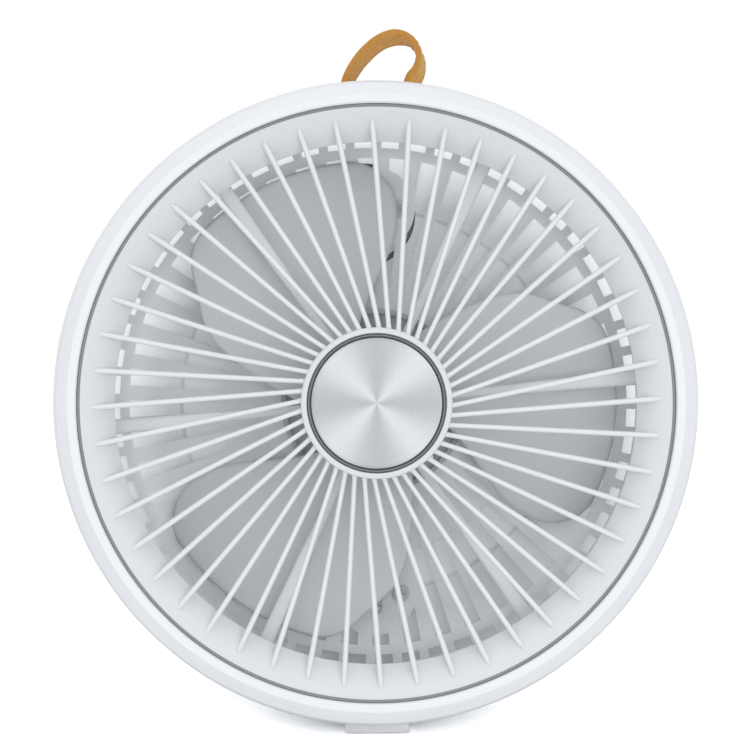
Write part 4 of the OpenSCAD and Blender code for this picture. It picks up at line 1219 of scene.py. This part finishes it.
@dataclass
class Strap:
    """The leather loop on top: a ribbon that twists as it turns over.

    Its path is a row of points right of and above the fan's axis in millimetres, each with the
    ribbon's twist in degrees.
    """
    width: float = 11.0
    thickness: float = 1.9
    depth_at: float = 38.0
    seam_in: float = 1.5
    stitch_pitch: float = 2.1
    stitch_length: float = 1.6
    thread_radius: float = 0.2
    unsewn: int = 14
    path: tuple[tuple[float, float, float], ...] = (
        (-6.6, 90.6, 0), (-6.9, 95.4, 0), (-8.3, 99.4, -13), (-7.6, 103.2, -14), (-5, 107.7, -15.5),
        (-2.2, 111, -16.3), (0.6, 113.5, -16.3), (3.5, 115.3, -16), (6.7, 116.2, -15.5),
        (9.6, 116, -11), (11.8, 115.1, -5), (13.4, 113.7, 0), (14.6, 111.5, 4), (15.1, 109.4, 8.5),
        (15, 107.3, 13), (14.3, 105, 18), (12.9, 102.6, 23), (12.1, 99.6, 20), (12.5, 95.8, 0),
        (12.6, 90.6, 0))

    def line(self, steps: int = 6) -> list[Vector]:
        """Points (x, up, twist) on a smooth curve through the path."""
        points = [Vector(p) for p in self.path]
        padded = [points[0], *points, points[-1]]
        made = []
        for p0, p1, p2, p3 in zip(padded, padded[1:], padded[2:], padded[3:]):
            for k in range(steps):
                t = k / steps
                made.append(0.5 * ((2 * p1) + (p2 - p0) * t
                                   + (2 * p0 - 5 * p1 + 4 * p2 - p3) * t * t
                                   + (3 * p1 - p0 - 3 * p2 + p3) * t ** 3))
        return made + [points[-1]]

    def frames(self) -> list[tuple[Vector, Vector, Vector]]:
        """Centre, width direction and outward direction at each point of the line."""
        line, depth = self.line(), Vector((0, 0, 1))
        made = []
        for i, point in enumerate(line):
            ahead = line[min(i + 1, len(line) - 1)] - line[max(i - 1, 0)]
            tangent = Vector((ahead.x, -ahead.y, 0)).normalized()
            outward = Vector((tangent.y, -tangent.x, 0))
            c, s = math.cos(math.radians(point.z)), math.sin(math.radians(point.z))
            made.append((Vector((point.x, -point.y, self.depth_at)), depth * c + outward * s,
                         outward * c - depth * s))
        return made

    def ribbon(self) -> bpy.types.Mesh:
        """The ribbon's skin, with U across it and V along it."""
        section, frames = rounded_block(self.width, self.thickness, 0.5), self.frames()
        reach = [0.0]
        for (before, _, _), (after, _, _) in zip(frames, frames[1:]):
            reach.append(reach[-1] + (after - before).length)
        vertices = [tuple(centre + across * x + face * y)
                    for centre, across, face in frames for x, y in section]
        places = [(x / self.width + 0.5, at * MM) for at in reach for x, _ in section]
        mesh = bpy.data.meshes.new("strap_ribbon")
        mesh.from_pydata(vertices, [], tube_faces(len(frames), len(section)))
        layer = mesh.uv_layers.new(name="UVMap")
        for loop in mesh.loops:
            layer.data[loop.index].uv = places[loop.vertex_index]
        with editing(mesh) as work:
            bmesh.ops.recalc_face_normals(work, faces=work.faces)
        smooth(mesh, 50)
        return mesh

    def seam(self, name: str, at: float) -> None:
        """Sews a row of stitches along the strap, on both faces.

        Args:
            name: Name of the piece.
            at: Its distance from the strap's middle line in millimetres.
        """
        frames = self.frames()[self.unsewn:-self.unsewn]
        points, edges = [], []
        for side in (-1, 1):
            start, lift = len(points), side * (self.thickness / 2 + 0.02)
            points += [tuple(centre + across * at + face * lift)
                       for centre, across, face in frames]
            edges += [(start + i, start + i + 1) for i in range(len(frames) - 1)]
        mesh = bpy.data.meshes.new(f"{name}_path")
        mesh.from_pydata(points, edges, [])
        holder = scene_object(f"{name}_path", mesh)
        sewn = SEAM.run(name, 80, path=holder, pitch=self.stitch_pitch,
                        stitch_length=self.stitch_length, thread_radius=self.thread_radius,
                        finish=PAINTS.get(PAINTS.thread))
        bpy.data.objects.remove(holder)
        Piece.add(name, sewn, PAINTS.thread)

    def build(self) -> None:
        """Builds the strap."""
        Piece.add("strap_ribbon", self.ribbon(), PAINTS.leather, stands_for="strap")
        self.seam("strap_seam_front", -self.width / 2 + self.seam_in)
        self.seam("strap_seam_rear", self.width / 2 - self.seam_in)
        Piece.softened(PAINTS.steel, 0.2, "strap_anchor")
        Piece.softened(PAINTS.brass, 0.25, "strap_rivets")


# ---------------------------------------------------------------- pod and stand

@dataclass
class Pod:
    """The round battery pod with its buttons, lights and charge port."""
    button_r: float = 6.5
    button_y: float = 22.0
    button_x: float = 15.0
    rear: float = 84.0
    proud: float = 0.9
    dot_r: tuple[float, float] = (1.5, 2.0)
    skin_r: tuple[float, float, float] = (62.6, 80.0, 86.9)
    skin_depth: tuple[float, float] = (55.42, 56.16)
    skin_thickness: float = 0.16
    dark_ring_at: tuple[float, float] = (-3.0, -60.2)
    dark_ring_r: tuple[float, float] = (15.0, 16.7)
    dark_ring_span: tuple[float, float] = (50.1, 51.6)
    shell_edge: float = 0.35
    cover_edge: float = 0.3
    socket_edge: float = 0.15
    small_edge: float = 0.12

    def button(self, name: str, x: float) -> None:
        """A button with a dished top; each has a mark that tells it by touch.

        Args:
            name: Name of the button, its node and its body.
            x: How far right of the axis it is.
        """
        top, r = self.rear + self.proud, self.button_r
        outline = filleted([
            (0, top - 0.35, 0), (3.6, top - 0.25, 2.0), (r - 0.9, top, 0.7), (r, top - 0.7, 0.5),
            (r, top - 3.2, 0.1), (0, top - 3.2, 0)], 5)
        cap = disc_at(name, x, self.button_y, outline, 96)
        Piece.add(f"{name}_cap", cap, PAINTS.button, name, name)
        mark = self.ring_mark if name == "power_button" else self.bar_mark
        Piece.add(f"{name}_mark", mark(f"{name}_mark", x, top), PAINTS.hub_trim, name)

    def ring_mark(self, name: str, x: float, top: float) -> bpy.types.Mesh:
        """A small raised ring."""
        outline = band(self.dot_r, (top + 0.02, top - 0.5), (0.15, 0.15, 0, 0), 3)
        return disc_at(name, x, self.button_y, outline, 64)

    def bar_mark(self, name: str, x: float, top: float) -> bpy.types.Mesh:
        """A small raised bar."""
        block = rounded_block(1, 2, 0.4)
        sections = [[Vector((x + sx * width, self.button_y + sy * 0.3, top - 0.5 + rise))
                     for sx, sy in block] for width, rise in ((3.4, 0), (3.4, 0.42), (3.0, 0.52))]
        return loft(name, sections, 50)

    def dish(self) -> None:
        """The pale front skin of the dish behind the rear slots, and a dark ring round the upper island."""
        (start, bend, rim), (flat, low) = self.skin_r, self.skin_depth
        back = self.skin_thickness
        outline = filleted([(start, flat, 0), (bend, flat, 2.0), (rim, low, 0.05),
                            (rim, low + back, 0.05), (bend, flat + back, 2.0),
                            (start, flat + back, 0)], 4)
        Piece.turned("dish_skin", outline, 200, PAINTS.dish_white)
        # A dark grey ring round the upper island, seen as dark slivers through the slots beside it.
        outline = band(self.dark_ring_r, self.dark_ring_span, (0, 0.4, 0.4, 0), 4)
        Piece.add("island_seal", disc_at("island_seal", *self.dark_ring_at, outline, 72),
                  PAINTS.hub_trim)

    def build(self) -> None:
        """Builds the pod."""
        self.dish()
        Piece.softened(PAINTS.pod_white, self.shell_edge, "pod_base")
        Piece.softened(PAINTS.shell_white, self.cover_edge, "pod_cover")
        self.button("power_button", -self.button_x)
        self.button("speed_button", self.button_x)
        Piece.softened(PAINTS.rubber, self.cover_edge, "port_cover")
        Piece.softened(PAINTS.steel, self.socket_edge, "charge_socket")
        Piece.softened(PAINTS.light_pipe, self.small_edge, "charge_lights")
        Piece.softened(PAINTS.steel, self.small_edge, "cover_screws")
        Piece.dressed(PAINTS.zinc, "pod_screws")
        Piece.dressed(PAINTS.cell_wrap, "battery_upper", "battery_lower")
        Piece.dressed(PAINTS.black_plastic, "battery_cradle", "button_switches")
        Piece.dressed(PAINTS.board, "main_board")
        Piece.dressed(PAINTS.lead, "motor_lead", "battery_lead")


@dataclass
class Support:
    """The kickstand and the feet."""
    stand_edge: float = 0.6
    pin_edge: float = 0.2
    foot_edge: float = 0.25

    def build(self) -> None:
        """Builds the stand and the feet."""
        Piece.softened(PAINTS.shell_white, self.stand_edge, "stand")
        Piece.softened(PAINTS.steel, self.pin_edge, "stand_pins")
        Piece.softened(PAINTS.pale_rubber, self.foot_edge, "stand_foot", "front_foot")


# ---------------------------------------------------------------- studio

@dataclass(frozen=True)
class Lamp:
    """A soft rectangular lamp, with its place and size in metres and its power in watts."""
    name: str
    place: tuple[float, float, float]
    size: tuple[float, float]
    power: float


@dataclass
class Studio:
    """Camera, lamps, floor and the white background."""
    lens: float = 151.0
    distance: float = 0.968
    swing: float = -1.25
    below: float = -0.8
    hub_depth: float = 2.4
    aim_right: float = -0.0007
    aim_up: float = 0.00886
    fill: float = 0.66
    lamp_target: tuple[float, float, float] = (0, 0, 0.1)
    lamps: tuple[Lamp, ...] = (Lamp("overhead", (-0.1, -0.25, 1.3), (1.2, 0.9), 2.3),
                               Lamp("front_fill", (0.32, -1.8, 0.42), (1.6, 1.0), 9.2),
                               Lamp("left_fill", (-1.2, -0.6, 0.5), (0.8, 0.8), 0.6))
    floor_tone: float = 0.93
    floor_seen: float = 2.4
    floor_back: float = 0.03
    floor_drop: float = 0.0003
    floor_rings: tuple[float, ...] = (0.12, 0.2, 0.3, 0.45, 0.7)
    floor_fade: tuple[float, float] = (0.2, 0.6)

    @staticmethod
    def aimed(name: str, data: bpy.types.ID, place: Vector, target: Vector) -> bpy.types.Object:
        """Puts a lamp or the camera at a place, turned toward its target."""
        made = scene_object(name, data)
        made.location = place
        made.rotation_mode = "QUATERNION"
        made.rotation_quaternion = (place - target).to_track_quat("Z", "Y")
        return made

    def camera(self) -> None:
        """The camera, long and nearly on the fan's axis."""
        hub = PLACE.point(0, 0, self.hub_depth)
        back = -PLACE.axis
        back.rotate(Matrix.Rotation(math.radians(self.swing), 3, -PLACE.down))
        side = back.cross(PLACE.down).normalized()
        back.rotate(Matrix.Rotation(math.radians(self.below), 3, side))
        back.normalize()
        right = Vector((0, 0, 1)).cross(back).normalized()
        up = back.cross(right).normalized()
        data = bpy.data.cameras.new("studio_camera")
        data.lens, data.sensor_width = self.lens, 36
        data.clip_start, data.clip_end = 0.05, 30
        bpy.context.scene.camera = self.aimed("studio_camera", data, hub + back * self.distance,
                                              hub + right * self.aim_right + up * self.aim_up)
        log.info("camera elevation %.2f", math.degrees(math.asin(back.z)))

    def light(self) -> None:
        """A broad lamp overhead and soft fills."""
        for lamp in self.lamps:
            data = bpy.data.lights.new(lamp.name, "AREA")
            data.shape, data.energy = "RECTANGLE", lamp.power
            data.size, data.size_y = lamp.size
            self.aimed(lamp.name, data, Vector(lamp.place), Vector(self.lamp_target))

    def world(self) -> None:
        """White for the camera, in reflections and through glass; a soft grey fill elsewhere."""
        world = bpy.data.worlds.new("studio")
        bpy.context.scene.world = world
        world.use_nodes = True
        graph = Graph(world.node_tree)
        graph.tree.nodes.clear()
        path = graph.node("ShaderNodeLightPath")
        seen = Wire(graph.tree, path.outputs["Is Camera Ray"])
        for ray in ("Is Glossy Ray", "Is Transmission Ray"):
            seen = seen.maths("MAXIMUM", Wire(graph.tree, path.outputs[ray]))
        strength = seen * (1 - self.fill) + self.fill
        white = graph.wire("ShaderNodeBackground", None,
                           {"Color": (1, 1, 1, 1), "Strength": strength})
        graph.node("ShaderNodeOutputWorld", None, {"Surface": white})

    def floor_material(self) -> bpy.types.Material:
        """A pale matt ground that turns clear outward."""
        material = bpy.data.materials.new("floor_white")
        material.use_nodes = True
        graph = Graph(material.node_tree)
        graph.tree.nodes.clear()
        near, far = self.floor_fade
        place = graph.wire("ShaderNodeTexCoord", out="Object")
        reach = graph.wire("ShaderNodeVectorMath", {"operation": "LENGTH"}, {0: place}, "Value")
        shown = graph.wire("ShaderNodeMapRange", {"interpolation_type": "SMOOTHSTEP"},
                           {"Value": reach, "From Min": near, "From Max": far, "To Min": 1.0,
                            "To Max": 0.0})
        seen = graph.wire("ShaderNodeLightPath", out="Is Camera Ray")
        level = seen * (self.floor_seen - self.floor_tone) + self.floor_tone
        shade = graph.wire("ShaderNodeCombineColor", None, {0: level, 1: level, 2: level})
        matt = graph.wire("ShaderNodeBsdfDiffuse", None, {"Color": shade})
        clear = graph.wire("ShaderNodeBsdfTransparent")
        mixed = graph.wire("ShaderNodeMixShader", None, {0: shown, 1: clear, 2: matt})
        graph.node("ShaderNodeOutputMaterial", None, {"Surface": mixed})
        return material

    def floor(self, steps: int = 96) -> None:
        """A pale round floor that fades into the background."""
        circle = [(math.cos(math.tau * k / steps), math.sin(math.tau * k / steps))
                  for k in range(steps)]
        vertices = [(0, self.floor_back, -self.floor_drop)]
        vertices += [(r * c, r * s + self.floor_back, -self.floor_drop)
                     for r in self.floor_rings for c, s in circle]
        pairs = [(k, (k + 1) % steps) for k in range(steps)]
        faces = [[0, 1 + k, 1 + n] for k, n in pairs]
        faces += [[a + k, a + steps + k, a + steps + n, a + n]
                  for a in range(1, steps * (len(self.floor_rings) - 1), steps) for k, n in pairs]
        mesh = bpy.data.meshes.new("studio_floor")
        mesh.from_pydata(vertices, [], faces)
        mesh.materials.append(self.floor_material())
        scene_object("studio_floor", mesh)

    def build(self) -> None:
        """Sets up the studio."""
        bpy.context.scene.view_settings.view_transform = "Standard"
        for make in (self.camera, self.world, self.light, self.floor):
            make()


def main() -> None:
    """Builds the fan's looks from front to rear, then the studio."""
    for part in (FrontHead(), Impeller(), Motor(), RearHead(), Strap(), Pod(), Support(), Studio()):
        log.info("building %s", type(part).__name__)
        part.build()


if __name__ == "__main__":
    main()
